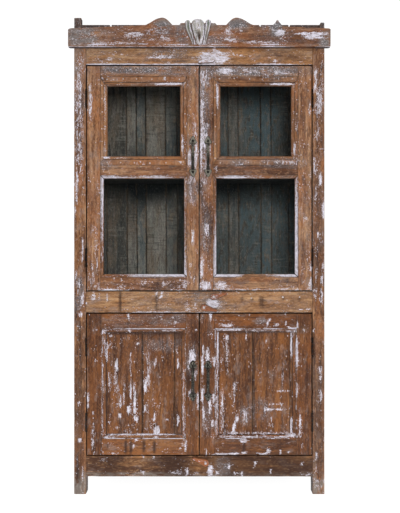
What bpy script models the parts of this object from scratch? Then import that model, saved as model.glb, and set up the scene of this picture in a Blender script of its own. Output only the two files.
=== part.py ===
"""Old two-over-two-door display cabinet: glazed doors above, panelled doors below.

Metres, +Z up, front towards -Y, origin on the floor under the middle of the outer box.
"""

import math

import bmesh
import bpy
from mathutils import Matrix

# Fits
SEAT = 0.0003
RUNNING = 0.0004

# Case
CASE_WIDTH = 0.962
CASE_DEPTH = 0.400
POST_SIZE = 0.046
LEG_HEIGHT = 0.068
BOTTOM_RAIL_HEIGHT = 0.079
LOWER_OPENING_HEIGHT = 0.551
MIDDLE_RAIL_HEIGHT = 0.081
UPPER_OPENING_HEIGHT = 0.871
FRIEZE_HEIGHT = 0.062
RAIL_THICKNESS = 0.028
TENON_LENGTH = 0.024
TENON_THICKNESS = 0.010
TENON_SHOULDER = 0.012
WOOD_CHAMFER = 0.0015

# Case panels, shelves and top
SIDE_PANEL_THICKNESS = 0.014
SIDE_PANEL_SETBACK = 0.008
PANEL_GROOVE = 0.008
BACK_THICKNESS = 0.014
BACK_SETBACK = 0.008
BOARD_LINE_WIDTH = 0.002
BOARD_LINE_DEPTH = 0.0025
BACK_BOARD_WIDTHS = (
    0.027, 0.090, 0.043, 0.041, 0.088, 0.050, 0.088, 0.045, 0.093, 0.045, 0.099, 0.046, 0.076,
)
SIDE_BOARD_WIDTHS = (0.118, 0.096)
SHELF_THICKNESS = 0.018
SHELF_HOUSING = 0.005
SHELF_SETBACK = 0.006
STOP_RISE = 0.011
TOP_THICKNESS = 0.016
TOP_RISE = 0.021
TOP_GAP_PLACES = (-0.340, 0.2335, 0.3456)
TOP_GAP_WIDTH = 0.006
TOP_GAP_END = 0.060
LEFT_STUB_WIDTH = 0.028
LEFT_STUB_HEIGHT = 0.027
RIGHT_STUB_WIDTH = 0.016
RIGHT_STUB_HEIGHT = 0.009
STUB_DEPTH = 0.028
STUB_ROOT = 0.020

# Cornice and crest
CORNICE_HEIGHT = 0.070
CORNICE_THICKNESS = 0.024
CORNICE_OVERHANG = 0.019
CORNICE_OVOLO = 0.009
CREST_RISE = 0.0125
HUMP_PLACE = 0.141
HUMP_HEIGHT = 0.0285
HUMP_OUTER_REACH = 0.067
HUMP_INNER_REACH = 0.039
BROKEN_HUMP_PLACE = 0.298
BROKEN_HUMP_HEIGHT = 0.027
BROKEN_HUMP_REACH = 0.020
SHELL_PLACE = -0.005
SHELL_BACKING_WIDTH = 0.142
SHELL_BACKING_RISE = 0.008
SHELL_HEIGHT = 0.097
SHELL_FOOT_WIDTH = 0.050
SHELL_TOP_WIDTH = 0.092
SHELL_DEPTH = 0.012
SHELL_PLATE = 0.004
SHELL_FOOT_LIFT = 0.007

# Doors
DOOR_THICKNESS = 0.026
DOOR_CLEARANCE = 0.0025
CENTRE_GAP = 0.003
UPPER_HINGE_STILE = 0.052
LEFT_UPPER_MEETING_STILE = 0.046
RIGHT_UPPER_MEETING_STILE = 0.053
UPPER_TOP_RAIL = 0.0435
UPPER_BOTTOM_RAIL = 0.0525
UPPER_MIDDLE_RAIL = 0.039
LOWER_PANE_HEIGHT = 0.391
LOWER_HINGE_STILE = 0.058
LEFT_LOWER_MEETING_STILE = 0.050
RIGHT_LOWER_MEETING_STILE = 0.058
LOWER_TOP_RAIL = 0.058
LOWER_BOTTOM_RAIL = 0.063

# Glazing and door mouldings
GLASS_THICKNESS = 0.003
GLASS_REBATE = 0.006
GLASS_FACE_DEPTH = 0.0165
MOULDING_SIDE_WIDTH = 0.026
MOULDING_END_WIDTH = 0.035
MOULDING_FILLET = 0.013
MOULDING_PROUD = 0.002
MOULDING_BEVEL_DEPTH = 0.010
MOULDING_LIP = 0.008
MOULDING_LIP_THICKNESS = 0.004
BEAD_WIDTH = 0.011
BEAD_STEP = 0.0025
BEAD_QUIRK = 0.003
BEAD_BEVEL_DEPTH = 0.008
PANEL_MOULDING_WIDTH = 0.016
PANEL_MOULDING_DEPTH = 0.008
PANEL_LIP = 0.0015
PANEL_BOARD_THICKNESS = 0.010
PANEL_BOARD_GROOVE = 0.010
LEFT_PANEL_JOINT = 0.219
RIGHT_PANEL_JOINT = 0.205
LEFT_PANEL_LINE = 0.096
RIGHT_PANEL_LINE = 0.350

# Hinges
LEAF_THICKNESS = 0.0012
LEAF_WIDTH = 0.022
LEAF_HEIGHT = 0.072
BARREL_RADIUS = 0.004
PIN_RADIUS = 0.0018
HINGE_INSET = 0.128

# Pull handles
HANDLE_SPACING = 0.119
ROSETTE_RADIUS = 0.0135
ROSETTE_THICKNESS = 0.004
BAR_RADIUS = 0.005
BAR_REACH = 0.029
BAR_FOOT_INSET = 0.006
LEFT_HANDLE_INSET = 0.0245
RIGHT_HANDLE_INSET = 0.0335
UPPER_HANDLE_RISE = 0.5155
LOWER_HANDLE_DROP = 0.2595

# Turn buttons
BUTTON_HEAD_RADIUS = 0.013
BUTTON_TIP_RADIUS = 0.0045
BUTTON_REACH = 0.053
BUTTON_THICKNESS = 0.011
BUTTON_SCREW_RADIUS = 0.002
BUTTON_SCREW_HEAD_RADIUS = 0.0048
BUTTON_SCREW_HEAD_HEIGHT = 0.0028
BUTTON_SCREW_GRIP = 0.016
BUTTON_SIDE_ANGLE = math.radians(76)
BOTTOM_BUTTON_SIDE_ANGLE = math.radians(70)
FRIEZE_BUTTON_PLACE = 0.047
FRIEZE_BUTTON_RISE = 0.0185
MIDDLE_UP_BUTTON_PLACE = 0.055
MIDDLE_UP_BUTTON_DROP = 0.0195
MIDDLE_DOWN_BUTTON_PLACE = 0.018
MIDDLE_DOWN_BUTTON_RISE = 0.0197
BOTTOM_BUTTON_PLACE = 0.024
BOTTOM_BUTTON_DROP = 0.025

# Heights that follow from the case
BOTTOM_RAIL_TOP = LEG_HEIGHT + BOTTOM_RAIL_HEIGHT
MIDDLE_RAIL_LOW = BOTTOM_RAIL_TOP + LOWER_OPENING_HEIGHT
MIDDLE_RAIL_TOP = MIDDLE_RAIL_LOW + MIDDLE_RAIL_HEIGHT
FRIEZE_LOW = MIDDLE_RAIL_TOP + UPPER_OPENING_HEIGHT
CORNICE_LOW = FRIEZE_LOW + FRIEZE_HEIGHT
CORNICE_TOP = CORNICE_LOW + CORNICE_HEIGHT
TOP_BOARDS_TOP = CORNICE_TOP + TOP_RISE
TOP_BOARDS_LOW = TOP_BOARDS_TOP - TOP_THICKNESS
POST_TOP = TOP_BOARDS_LOW - SEAT

# Widths that follow from the case
HALF = CASE_WIDTH / 2
INNER = HALF - POST_SIZE
HINGE_GAP = 2 * LEAF_THICKNESS + 3 * SEAT
PANEL_OUTER = HALF - SIDE_PANEL_SETBACK
PANEL_INNER = PANEL_OUTER - SIDE_PANEL_THICKNESS

# Depths: the outer box is centred on Y = 0
HANDLE_FRONT = SEAT + BAR_REACH + BAR_RADIUS
SHELL_FRONT = CORNICE_THICKNESS + SEAT + SHELL_DEPTH
FRONT_REACH = max(HANDLE_FRONT, SHELL_FRONT)
FACE = (FRONT_REACH - CASE_DEPTH) / 2
REAR = FACE + CASE_DEPTH
BACK_FACE = REAR - BACK_SETBACK - BACK_THICKNESS

WARM_TEAK = (0.27, 0.12, 0.055)
PALE_TEAK = (0.36, 0.20, 0.11)
DARK_TEAK = (0.17, 0.075, 0.04)
INSIDE_BOARD = (0.075, 0.085, 0.072)
LIMED_CARVING = (0.52, 0.50, 0.45)
PAINTED_BUTTON = (0.60, 0.57, 0.57)
OLD_IRON = (0.06, 0.062, 0.055)
RUSTY_IRON = (0.085, 0.055, 0.040)
CLEAR_GLASS = (0.80, 0.86, 0.84)

for old in list(bpy.data.objects):
    bpy.data.objects.remove(old, do_unlink=True)

cabinet = bpy.data.collections.new("glass_display_cabinet")
cutters = bpy.data.collections.new("cutters")
bpy.context.scene.collection.children.link(cabinet)
bpy.context.scene.collection.children.link(cutters)


def add_object(name, mesh, collection):
    obj = bpy.data.objects.new(name, mesh)
    collection.objects.link(obj)
    if collection is cutters:
        obj.hide_render = True
        obj.display_type = "WIRE"
    return obj


def chamfer(obj, width):
    bevel = obj.modifiers.new("worn_edges", "BEVEL")
    bevel.width = width
    bevel.segments = 1
    bevel.limit_method = "ANGLE"
    return obj


def block(name, x, y, z, collection=cabinet):
    """A box between two places along each axis, with its origin at its middle."""
    mesh = bpy.data.meshes.new(name)
    shape = bmesh.new()
    bmesh.ops.create_cube(shape, size=1.0)
    sides = [abs(b - a) for a, b in (x, y, z)]
    bmesh.ops.scale(shape, vec=sides, verts=shape.verts)
    shape.to_mesh(mesh)
    shape.free()
    obj = add_object(name, mesh, collection)
    obj.location = [(a + b) / 2 for a, b in (x, y, z)]
    return obj


def splayed_cutter(name, front, back, y):
    """A box whose front and back rectangles differ: each is ((x, x), (z, z))."""
    obj = block(name, (-0.5, 0.5), (-0.5, 0.5), (-0.5, 0.5), cutters)
    for vertex in obj.data.vertices:
        far = vertex.co.y > 0
        across, upright = back if far else front
        place_x = max(across) if vertex.co.x > 0 else min(across)
        place_z = max(upright) if vertex.co.z > 0 else min(upright)
        vertex.co = (place_x, max(y) if far else min(y), place_z)
    return obj


def rod(name, radius, y, x, z, segments=16, collection=cutters):
    """A cylinder along Y."""
    mesh = bpy.data.meshes.new(name)
    shape = bmesh.new()
    bmesh.ops.create_cone(
        shape, cap_ends=True, segments=segments, radius1=radius, radius2=radius, depth=max(y) - min(y)
    )
    bmesh.ops.rotate(shape, verts=shape.verts, matrix=Matrix.Rotation(math.pi / 2, 3, "X"))
    shape.to_mesh(mesh)
    shape.free()
    obj = add_object(name, mesh, collection)
    obj.location = (x, sum(y) / 2, z)
    return obj


def upright_rod(name, radius, z, segments=16):
    """A cylinder along Z on the Z axis."""
    mesh = bpy.data.meshes.new(name)
    shape = bmesh.new()
    bmesh.ops.create_cone(
        shape, cap_ends=True, segments=segments, radius1=radius, radius2=radius, depth=max(z) - min(z)
    )
    shape.to_mesh(mesh)
    shape.free()
    obj = add_object(name, mesh, cutters)
    obj.location = (0, 0, sum(z) / 2)
    return obj


def boolean(obj, other, operation):
    modifier = obj.modifiers.new(other.name, "BOOLEAN")
    modifier.operation = operation
    modifier.solver = "EXACT"
    modifier.object = other


def cut(obj, *others):
    for other in others:
        boolean(obj, other, "DIFFERENCE")
    return obj


def join(obj, *others):
    for other in others:
        boolean(obj, other, "UNION")
    return obj


def evaluated_mesh(obj, name):
    bpy.context.view_layer.update()
    graph = bpy.context.evaluated_depsgraph_get()
    mesh = bpy.data.meshes.new_from_object(obj.evaluated_get(graph))
    mesh.name = name
    return mesh


def weld(mesh):
    shape = bmesh.new()
    shape.from_mesh(mesh)
    bmesh.ops.remove_doubles(shape, verts=shape.verts, dist=1e-6)
    bmesh.ops.recalc_face_normals(shape, faces=shape.faces)
    shape.to_mesh(mesh)
    shape.free()


def curve_mesh(name, curve):
    """The welded mesh of a curve, which is then removed."""
    guide = add_object(name + "_guide", curve, cutters)
    mesh = evaluated_mesh(guide, name)
    bpy.data.objects.remove(guide, do_unlink=True)
    bpy.data.curves.remove(curve)
    weld(mesh)
    return mesh


def outline_mesh(name, outlines, thickness):
    """A flat shape in the XY plane: the first outline is its edge, the others are holes."""
    curve = bpy.data.curves.new(name, "CURVE")
    curve.dimensions = "2D"
    curve.fill_mode = "BOTH"
    curve.extrude = thickness / 2
    for points in outlines:
        spline = curve.splines.new("POLY")
        spline.points.add(len(points) - 1)
        for point, (x, y) in zip(spline.points, points):
            point.co = (x, y, 0, 1)
        spline.use_cyclic_u = True
    return curve_mesh(name, curve)


def facing_front(mesh):
    """Stands an XY outline up in the XZ plane."""
    mesh.transform(Matrix.Rotation(math.pi / 2, 4, "X"))
    return mesh


def tube_mesh(name, points, radius, shares, sides=2):
    curve = bpy.data.curves.new(name, "CURVE")
    curve.dimensions = "3D"
    curve.bevel_depth = radius
    curve.bevel_resolution = sides
    curve.use_fill_caps = True
    spline = curve.splines.new("POLY")
    spline.points.add(len(points) - 1)
    for point, place, share in zip(spline.points, points, shares):
        point.co = (*place, 1)
        point.radius = share
    return curve_mesh(name, curve)


def smooth(obj):
    obj.data.shade_smooth()
    obj.data.set_sharp_from_angle(angle=math.radians(35))
    return obj


def finish(obj, colour, roughness=0.8, metallic=0.0, transmission=0.0):
    material = bpy.data.materials.new(obj.name + "_finish")
    material.use_nodes = True
    shader = material.node_tree.nodes["Principled BSDF"]
    shader.inputs["Base Color"].default_value = (*colour, 1)
    shader.inputs["Roughness"].default_value = roughness
    shader.inputs["Metallic"].default_value = metallic
    shader.inputs["Transmission Weight"].default_value = transmission
    obj.data.materials.clear()
    obj.data.materials.append(material)
    return obj


def pivot(name, place):
    empty = bpy.data.objects.new(name, None)
    empty.location = place
    empty.empty_display_size = 0.03
    cabinet.objects.link(empty)
    return empty


def hang(obj, empty):
    """Parents a piece to its pivot where it stands."""
    obj.parent = empty
    obj.matrix_parent_inverse = Matrix.Translation(-empty.location)
    return obj


def grown(pair, by):
    return (min(pair) - by, max(pair) + by)


# Front rails, with a tenon at each end
def front_rail(name, z):
    middle = FACE + RAIL_THICKNESS / 2
    rail = block(name, (-INNER + SEAT, INNER - SEAT), (FACE, FACE + RAIL_THICKNESS), z)
    chamfer(rail, WOOD_CHAMFER)
    tenon_y = (middle - TENON_THICKNESS / 2, middle + TENON_THICKNESS / 2)
    tenon_z = grown(z, -TENON_SHOULDER)
    reach = INNER + TENON_LENGTH
    join(rail, block(name + "_tenon", (-reach, reach), tenon_y, tenon_z, cutters))
    mortise_x = (-reach - SEAT, reach + SEAT)
    mortise = block(name + "_mortise", mortise_x, grown(tenon_y, SEAT), grown(tenon_z, SEAT), cutters)
    return rail, mortise


bottom_rail, bottom_mortise = front_rail("bottom_rail", (LEG_HEIGHT, BOTTOM_RAIL_TOP))
middle_rail, middle_mortise = front_rail("middle_rail", (MIDDLE_RAIL_LOW, MIDDLE_RAIL_TOP))
frieze_rail, frieze_mortise = front_rail("frieze_rail", (FRIEZE_LOW, POST_TOP))
finish(bottom_rail, DARK_TEAK)
finish(middle_rail, PALE_TEAK)
finish(frieze_rail, PALE_TEAK)

# Posts, grooved for the side and back panels
SIDE_PANEL_Y = (FACE + POST_SIZE - PANEL_GROOVE, REAR - POST_SIZE + PANEL_GROOVE)
BACK_Y = (BACK_FACE, BACK_FACE + BACK_THICKNESS)
BACK_X = (-INNER - PANEL_GROOVE, INNER + PANEL_GROOVE)
PANEL_Z = (LEG_HEIGHT, POST_TOP)
OPEN_Z = (LEG_HEIGHT - SEAT, POST_TOP + POST_SIZE)

back_groove = block("back_groove", grown(BACK_X, SEAT), grown(BACK_Y, SEAT), OPEN_Z, cutters)
for side, sign in (("left", -1), ("right", 1)):
    side_x = (sign * PANEL_INNER, sign * PANEL_OUTER)
    groove_x = grown(side_x, SEAT)
    groove_y = grown(SIDE_PANEL_Y, SEAT)
    side_groove = block(side + "_side_groove", groove_x, groove_y, OPEN_Z, cutters)
    post_x = (sign * INNER, sign * HALF)
    front_post = block(side + "_front_post", post_x, (FACE, FACE + POST_SIZE), (0, POST_TOP))
    chamfer(front_post, WOOD_CHAMFER)
    stub_width = LEFT_STUB_WIDTH if sign < 0 else RIGHT_STUB_WIDTH
    stub_height = LEFT_STUB_HEIGHT if sign < 0 else RIGHT_STUB_HEIGHT
    stub_x = (sign * (HALF - stub_width), sign * (HALF - SEAT))
    stub_y = (FACE + SEAT, FACE + STUB_DEPTH)
    stub_z = (POST_TOP - STUB_ROOT, TOP_BOARDS_TOP + stub_height)
    stub = chamfer(block(side + "_post_stub", stub_x, stub_y, stub_z, cutters), WOOD_CHAMFER)
    join(front_post, stub)
    cut(front_post, side_groove, bottom_mortise, middle_mortise, frieze_mortise)
    finish(front_post, WARM_TEAK)
    back_post = block(side + "_back_post", post_x, (REAR - POST_SIZE, REAR), (0, POST_TOP))
    chamfer(back_post, WOOD_CHAMFER)
    cut(back_post, side_groove, back_groove)
    finish(back_post, WARM_TEAK)

# Shelves, housed in the side panels and notched round the posts
def shelf(name, top, front):
    inside = INNER - SEAT
    housed = PANEL_INNER + SHELF_HOUSING
    front_notch = FACE + POST_SIZE + SEAT
    rear_notch = REAR - POST_SIZE - SEAT
    rear = BACK_FACE - SEAT
    half = [
        (inside, front),
        (inside, front_notch),
        (housed, front_notch),
        (housed, rear_notch),
        (inside, rear_notch),
        (inside, rear),
    ]
    points = half + [(-x, y) for x, y in reversed(half)]
    obj = add_object(name, outline_mesh(name, [points], SHELF_THICKNESS), cabinet)
    obj.location = (0, 0, top - SHELF_THICKNESS / 2)
    housing = block(
        name + "_housing",
        (-housed - SEAT, housed + SEAT),
        (front_notch - SEAT, rear_notch + SEAT),
        (top - SHELF_THICKNESS - SEAT, top + SEAT),
        cutters,
    )
    return finish(obj, INSIDE_BOARD, 0.85), housing


UPPER_DOOR_LOW = MIDDLE_RAIL_TOP + DOOR_CLEARANCE
UPPER_DOOR_TOP = FRIEZE_LOW - DOOR_CLEARANCE
LOWER_DOOR_LOW = BOTTOM_RAIL_TOP + DOOR_CLEARANCE
LOWER_DOOR_TOP = MIDDLE_RAIL_LOW - DOOR_CLEARANCE
LOWER_PANE_Z = (UPPER_DOOR_LOW + UPPER_BOTTOM_RAIL, UPPER_DOOR_LOW + UPPER_BOTTOM_RAIL + LOWER_PANE_HEIGHT)
UPPER_PANE_Z = (LOWER_PANE_Z[1] + UPPER_MIDDLE_RAIL, UPPER_DOOR_TOP - UPPER_TOP_RAIL)

behind_rail = FACE + max(RAIL_THICKNESS, DOOR_THICKNESS) + SEAT
behind_door = FACE + DOOR_THICKNESS + SHELF_SETBACK
upper_shelf_top = LOWER_PANE_Z[1] + (UPPER_MIDDLE_RAIL + SHELF_THICKNESS) / 2
floor_board, floor_housing = shelf("floor_board", BOTTOM_RAIL_TOP + STOP_RISE, behind_rail)
middle_shelf, middle_housing = shelf("middle_shelf", MIDDLE_RAIL_TOP + STOP_RISE, behind_rail)
upper_shelf, upper_housing = shelf("upper_shelf", upper_shelf_top, behind_door)

# Side panels of upright boards
for side, sign in (("left", -1), ("right", 1)):
    side_x = (sign * PANEL_INNER, sign * PANEL_OUTER)
    panel = block(side + "_side_panel", side_x, SIDE_PANEL_Y, PANEL_Z)
    cut(panel, floor_housing, middle_housing, upper_housing)
    place = SIDE_PANEL_Y[0]
    for number, width in enumerate(SIDE_BOARD_WIDTHS):
        place += width
        line_x = (sign * (PANEL_OUTER - BOARD_LINE_DEPTH), sign * (PANEL_OUTER + BOARD_LINE_DEPTH))
        line_y = (place - BOARD_LINE_WIDTH / 2, place + BOARD_LINE_WIDTH / 2)
        line_name = f"{side}_side_board_line_{number}"
        cut(panel, block(line_name, line_x, line_y, grown(PANEL_Z, SEAT), cutters))
    finish(panel, WARM_TEAK)

# Back of upright boards, laid from the left: their joints show as lines on the inside
back_points = [(BACK_X[0], BACK_Y[1]), (BACK_X[0], BACK_Y[0])]
place = -INNER
for width in BACK_BOARD_WIDTHS:
    place += width
    if place + BOARD_LINE_WIDTH < INNER:
        back_points.append((place - BOARD_LINE_WIDTH / 2, BACK_Y[0]))
        back_points.append((place, BACK_Y[0] + BOARD_LINE_DEPTH))
        back_points.append((place + BOARD_LINE_WIDTH / 2, BACK_Y[0]))
back_points += [(BACK_X[1], BACK_Y[0]), (BACK_X[1], BACK_Y[1])]
back_boards = add_object(
    "back_boards", outline_mesh("back_boards", [back_points], PANEL_Z[1] - PANEL_Z[0]), cabinet
)
back_boards.location = (0, 0, sum(PANEL_Z) / 2)
finish(back_boards, INSIDE_BOARD, 0.85)

# Top boards, open between boards and notched round the post stubs
top_boards = block("top_boards", (-HALF, HALF), (FACE + SEAT, REAR), (TOP_BOARDS_LOW, TOP_BOARDS_TOP))
chamfer(top_boards, WOOD_CHAMFER)
through_top = grown((TOP_BOARDS_LOW, TOP_BOARDS_TOP), STUB_ROOT)
for sign, stub_width in ((-1, LEFT_STUB_WIDTH), (1, RIGHT_STUB_WIDTH)):
    notch_x = (sign * (HALF - stub_width - SEAT), sign * (HALF + STUB_ROOT))
    notch_y = (FACE - STUB_ROOT, FACE + STUB_DEPTH + SEAT)
    cut(top_boards, block(f"top_notch_{stub_width}", notch_x, notch_y, through_top, cutters))
for number, place in enumerate(TOP_GAP_PLACES):
    gap_x = (place - TOP_GAP_WIDTH / 2, place + TOP_GAP_WIDTH / 2)
    gap_y = (FACE - STUB_ROOT, REAR - TOP_GAP_END)
    cut(top_boards, block(f"top_gap_{number}", gap_x, gap_y, through_top, cutters))
finish(top_boards, DARK_TEAK)


# Cornice: a front board with a scalloped top edge
def hump(place, peak, outer_reach, inner_reach, base, height, steps=7):
    """Points over one hump, left to right, round and steep towards the middle of the cabinet."""
    left_reach, right_reach = (outer_reach, inner_reach) if place < 0 else (inner_reach, outer_reach)
    points = []
    for step in range(-steps, steps + 1):
        share = abs(step) / steps
        reach = left_reach if step < 0 else right_reach
        if reach == inner_reach:
            rise = math.cos(math.pi / 2 * share)
        else:
            rise = ((1 + math.cos(math.pi * share)) / 2) ** 0.72
        points.append((place + math.copysign(share * reach, step), base + rise * height * peak))
    return points


CORNICE_HALF = HALF + CORNICE_OVERHANG
crest = CORNICE_TOP + CREST_RISE
shell_half = SHELL_BACKING_WIDTH / 2
top_edge = [(-CORNICE_HALF, CORNICE_TOP)]
top_edge += hump(-HUMP_PLACE, 1, HUMP_OUTER_REACH, HUMP_INNER_REACH, crest, HUMP_HEIGHT)
top_edge += [
    (SHELL_PLACE - shell_half, crest),
    (SHELL_PLACE - shell_half + SHELL_BACKING_RISE / 2, crest + SHELL_BACKING_RISE),
    (SHELL_PLACE + shell_half - SHELL_BACKING_RISE / 2, crest + SHELL_BACKING_RISE),
    (SHELL_PLACE + shell_half, crest),
]
top_edge += hump(HUMP_PLACE, 1, HUMP_OUTER_REACH, HUMP_INNER_REACH, crest, HUMP_HEIGHT)
slope = (crest - CORNICE_TOP) / (CORNICE_HALF - HUMP_PLACE - HUMP_OUTER_REACH)
broken_base = CORNICE_TOP + slope * (CORNICE_HALF - BROKEN_HUMP_PLACE)
top_edge += [
    (BROKEN_HUMP_PLACE - BROKEN_HUMP_REACH, broken_base + slope * BROKEN_HUMP_REACH),
    (BROKEN_HUMP_PLACE - BROKEN_HUMP_REACH / 2, broken_base + BROKEN_HUMP_HEIGHT * 0.65),
    (BROKEN_HUMP_PLACE, broken_base + BROKEN_HUMP_HEIGHT),
    (BROKEN_HUMP_PLACE + BROKEN_HUMP_REACH / 2, broken_base + BROKEN_HUMP_HEIGHT * 0.75),
    (BROKEN_HUMP_PLACE + BROKEN_HUMP_REACH, broken_base - slope * BROKEN_HUMP_REACH),
]
top_edge += [(CORNICE_HALF, CORNICE_TOP)]
cornice_points = [(-CORNICE_HALF, CORNICE_LOW)] + top_edge + [(CORNICE_HALF, CORNICE_LOW)]
cornice_mesh = facing_front(outline_mesh("cornice_front", [cornice_points], CORNICE_THICKNESS - SEAT))
cornice_front = add_object("cornice_front", cornice_mesh, cabinet)
CORNICE_FRONT = FACE - CORNICE_THICKNESS
cornice_front.location = (0, (CORNICE_FRONT + FACE - SEAT) / 2, 0)
ovolo_front = block(
    "cornice_front_ovolo",
    grown((-CORNICE_HALF, CORNICE_HALF), CORNICE_OVERHANG),
    (-CORNICE_OVOLO, CORNICE_OVOLO),
    (-CORNICE_OVOLO, CORNICE_OVOLO),
    cutters,
)
OVOLO_INSET = CORNICE_OVOLO * (math.sqrt(2) - 1)
ovolo_front.location = (0, CORNICE_FRONT - OVOLO_INSET, CORNICE_LOW - OVOLO_INSET)
ovolo_front.rotation_euler = (math.pi / 4, 0, 0)
cut(cornice_front, ovolo_front)
finish(cornice_front, WARM_TEAK)

# Carved shell: a fan-shaped plate with round flutes that narrow towards the foot
shell_low = CORNICE_LOW + SHELL_FOOT_LIFT
shell_top = shell_low + SHELL_HEIGHT
foot_half = SHELL_FOOT_WIDTH / 2
top_half = SHELL_TOP_WIDTH / 2
flute_radius = SHELL_DEPTH - SHELL_PLATE / 2
plate_points = [
    (-foot_half, shell_low),
    (-top_half, shell_top - 2 * flute_radius),
    (-top_half / 2, shell_top - flute_radius),
    (top_half / 2, shell_top - flute_radius),
    (top_half, shell_top - 2 * flute_radius),
    (foot_half, shell_low),
]
carved_shell = add_object(
    "carved_shell", facing_front(outline_mesh("carved_shell", [plate_points], SHELL_PLATE)), cabinet
)
plate_y = CORNICE_FRONT - SEAT - SHELL_PLATE / 2
carved_shell.location = (SHELL_PLACE, plate_y, 0)
FLUTE_PLACES = (-0.92, -0.48, 0.0, 0.48, 0.92)
FLUTE_DROPS = (0.002, 0.004, 0.0, 0.004, 0.002)
for number, (share, drop) in enumerate(zip(FLUTE_PLACES, FLUTE_DROPS)):
    foot = (share * (foot_half - flute_radius / 3), 0, shell_low + flute_radius / 3)
    head = (share * top_half, 0, shell_top - drop)
    ways = (0.0, 0.3, 0.6, 0.82, 0.93, 0.98, 1.0)
    shares = (0.35, 0.55, 0.8, 1.0, 0.85, 0.55, 0.15)
    path = [tuple(a + (b - a) * way for a, b in zip(foot, head)) for way in ways]
    flute = add_object(
        f"shell_flute_{number}", tube_mesh(f"shell_flute_{number}", path, flute_radius, shares), cutters
    )
    flute.location = carved_shell.location
    join(carved_shell, flute)
behind_shell = block(
    "behind_shell",
    (SHELL_PLACE - CASE_WIDTH / 4, SHELL_PLACE + CASE_WIDTH / 4),
    (CORNICE_FRONT - SEAT, CORNICE_FRONT + 4 * SHELL_DEPTH),
    (shell_low - SHELL_HEIGHT, shell_top + SHELL_HEIGHT),
    cutters,
)
cut(carved_shell, behind_shell)
smooth(carved_shell)
finish(carved_shell, LIMED_CARVING, 0.75)


# Butt hinges: the post leaf has the end knuckles and the pin, the door leaf the middle knuckle
KNUCKLE = LEAF_HEIGHT / 3
AXIS_Y = FACE - BARREL_RADIUS - SEAT
AXIS_X = INNER - HINGE_GAP / 2
LEAF_OFFSET = HINGE_GAP / 2 - SEAT


def hinge_leaf_mesh(name, direction, zones, with_pin):
    """One leaf about its pin axis: direction is +1 where the plate lies towards +X."""
    plate_x = (direction * LEAF_OFFSET, direction * (LEAF_OFFSET - LEAF_THICKNESS))
    front = FACE - AXIS_Y
    half = LEAF_HEIGHT / 2
    leaf = block(name + "_plate", plate_x, (front, front + LEAF_WIDTH), (-half, half), cutters)
    pieces = []
    for number, zone in enumerate(zones):
        pieces.append(block(f"{name}_tab_{number}", plate_x, (0, front + BARREL_RADIUS), zone, cutters))
        pieces.append(upright_rod(f"{name}_knuckle_{number}", BARREL_RADIUS, zone))
    if with_pin:
        pieces.append(upright_rod(name + "_pin", PIN_RADIUS, (-half + PIN_RADIUS, half - PIN_RADIUS), 12))
    join(leaf, *pieces)
    if not with_pin:
        bore = upright_rod(name + "_bore", PIN_RADIUS + SEAT, (-LEAF_HEIGHT, LEAF_HEIGHT), 12)
        pieces.append(bore)
        cut(leaf, bore)
    mesh = evaluated_mesh(leaf, name)
    mesh.transform(Matrix.Translation(leaf.location))
    for piece in [leaf, *pieces]:
        bpy.data.objects.remove(piece, do_unlink=True)
    return mesh


end_zones = ((-LEAF_HEIGHT / 2, -KNUCKLE / 2 - SEAT), (KNUCKLE / 2 + SEAT, LEAF_HEIGHT / 2))
middle_zone = ((-KNUCKLE / 2, KNUCKLE / 2),)
leaf_meshes = {}
for side, sign in (("left", -1), ("right", 1)):
    leaf_meshes[side, "post"] = hinge_leaf_mesh(side + "_post_leaf", sign, end_zones, True)
    leaf_meshes[side, "door"] = hinge_leaf_mesh(side + "_door_leaf", -sign, middle_zone, False)


def hinge(side, sign, tier, end, height, door_pivot):
    place = (sign * AXIS_X, AXIS_Y, height)
    post_leaf = add_object(f"{side}_{tier}_{end}_hinge_post_leaf", leaf_meshes[side, "post"].copy(), cabinet)
    door_leaf = add_object(f"{side}_{tier}_{end}_hinge_door_leaf", leaf_meshes[side, "door"].copy(), cabinet)
    for leaf in (post_leaf, door_leaf):
        leaf.location = place
        smooth(leaf)
        finish(leaf, RUSTY_IRON, 0.65, 0.8)
    hang(door_leaf, door_pivot)


# Pull handle: two lobed rosettes and a bowed bar, cast in one piece
def rosette_points(up, count=30):
    points = []
    for step in range(count):
        turn = 2 * math.pi * step / count
        lobe = 0.78 + 0.22 * math.cos(3 * (turn - up * math.pi / 2))
        stretch = 1.2 if up * math.sin(turn) > 0 else 1.0
        radius = ROSETTE_RADIUS * lobe
        points.append((radius * math.cos(turn), radius * math.sin(turn) * stretch))
    return points


def handle_mesh():
    rosettes = []
    for up in (1, -1):
        name = f"rosette_{up}"
        mesh = facing_front(outline_mesh(name, [rosette_points(up)], ROSETTE_THICKNESS))
        rosette = add_object(name, mesh, cutters)
        rosette.location = (0, -ROSETTE_THICKNESS / 2, up * HANDLE_SPACING / 2)
        rosettes.append(rosette)
    foot = HANDLE_SPACING / 2 - BAR_FOOT_INSET
    start = ROSETTE_THICKNESS / 2
    steps = 14
    path = []
    for step in range(steps + 1):
        turn = math.pi * step / steps
        path.append((0, -start - (BAR_REACH - start) * math.sin(turn) ** 0.7, foot * math.cos(turn)))
    bar = add_object("handle_bar", tube_mesh("handle_bar", path, BAR_RADIUS, [1] * len(path)), cutters)
    join(bar, *rosettes)
    mesh = evaluated_mesh(bar, "handle")
    for piece in [bar, *rosettes]:
        bpy.data.objects.remove(piece, do_unlink=True)
    return mesh


pull = handle_mesh()


def handle(side, sign, tier, height, door_pivot):
    inset = LEFT_HANDLE_INSET if sign < 0 else RIGHT_HANDLE_INSET
    obj = add_object(f"{side}_{tier}_handle", pull.copy(), cabinet)
    obj.location = (sign * inset, FACE - SEAT, height)
    smooth(obj)
    finish(obj, OLD_IRON, 0.55, 0.85)
    hang(obj, door_pivot)


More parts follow.
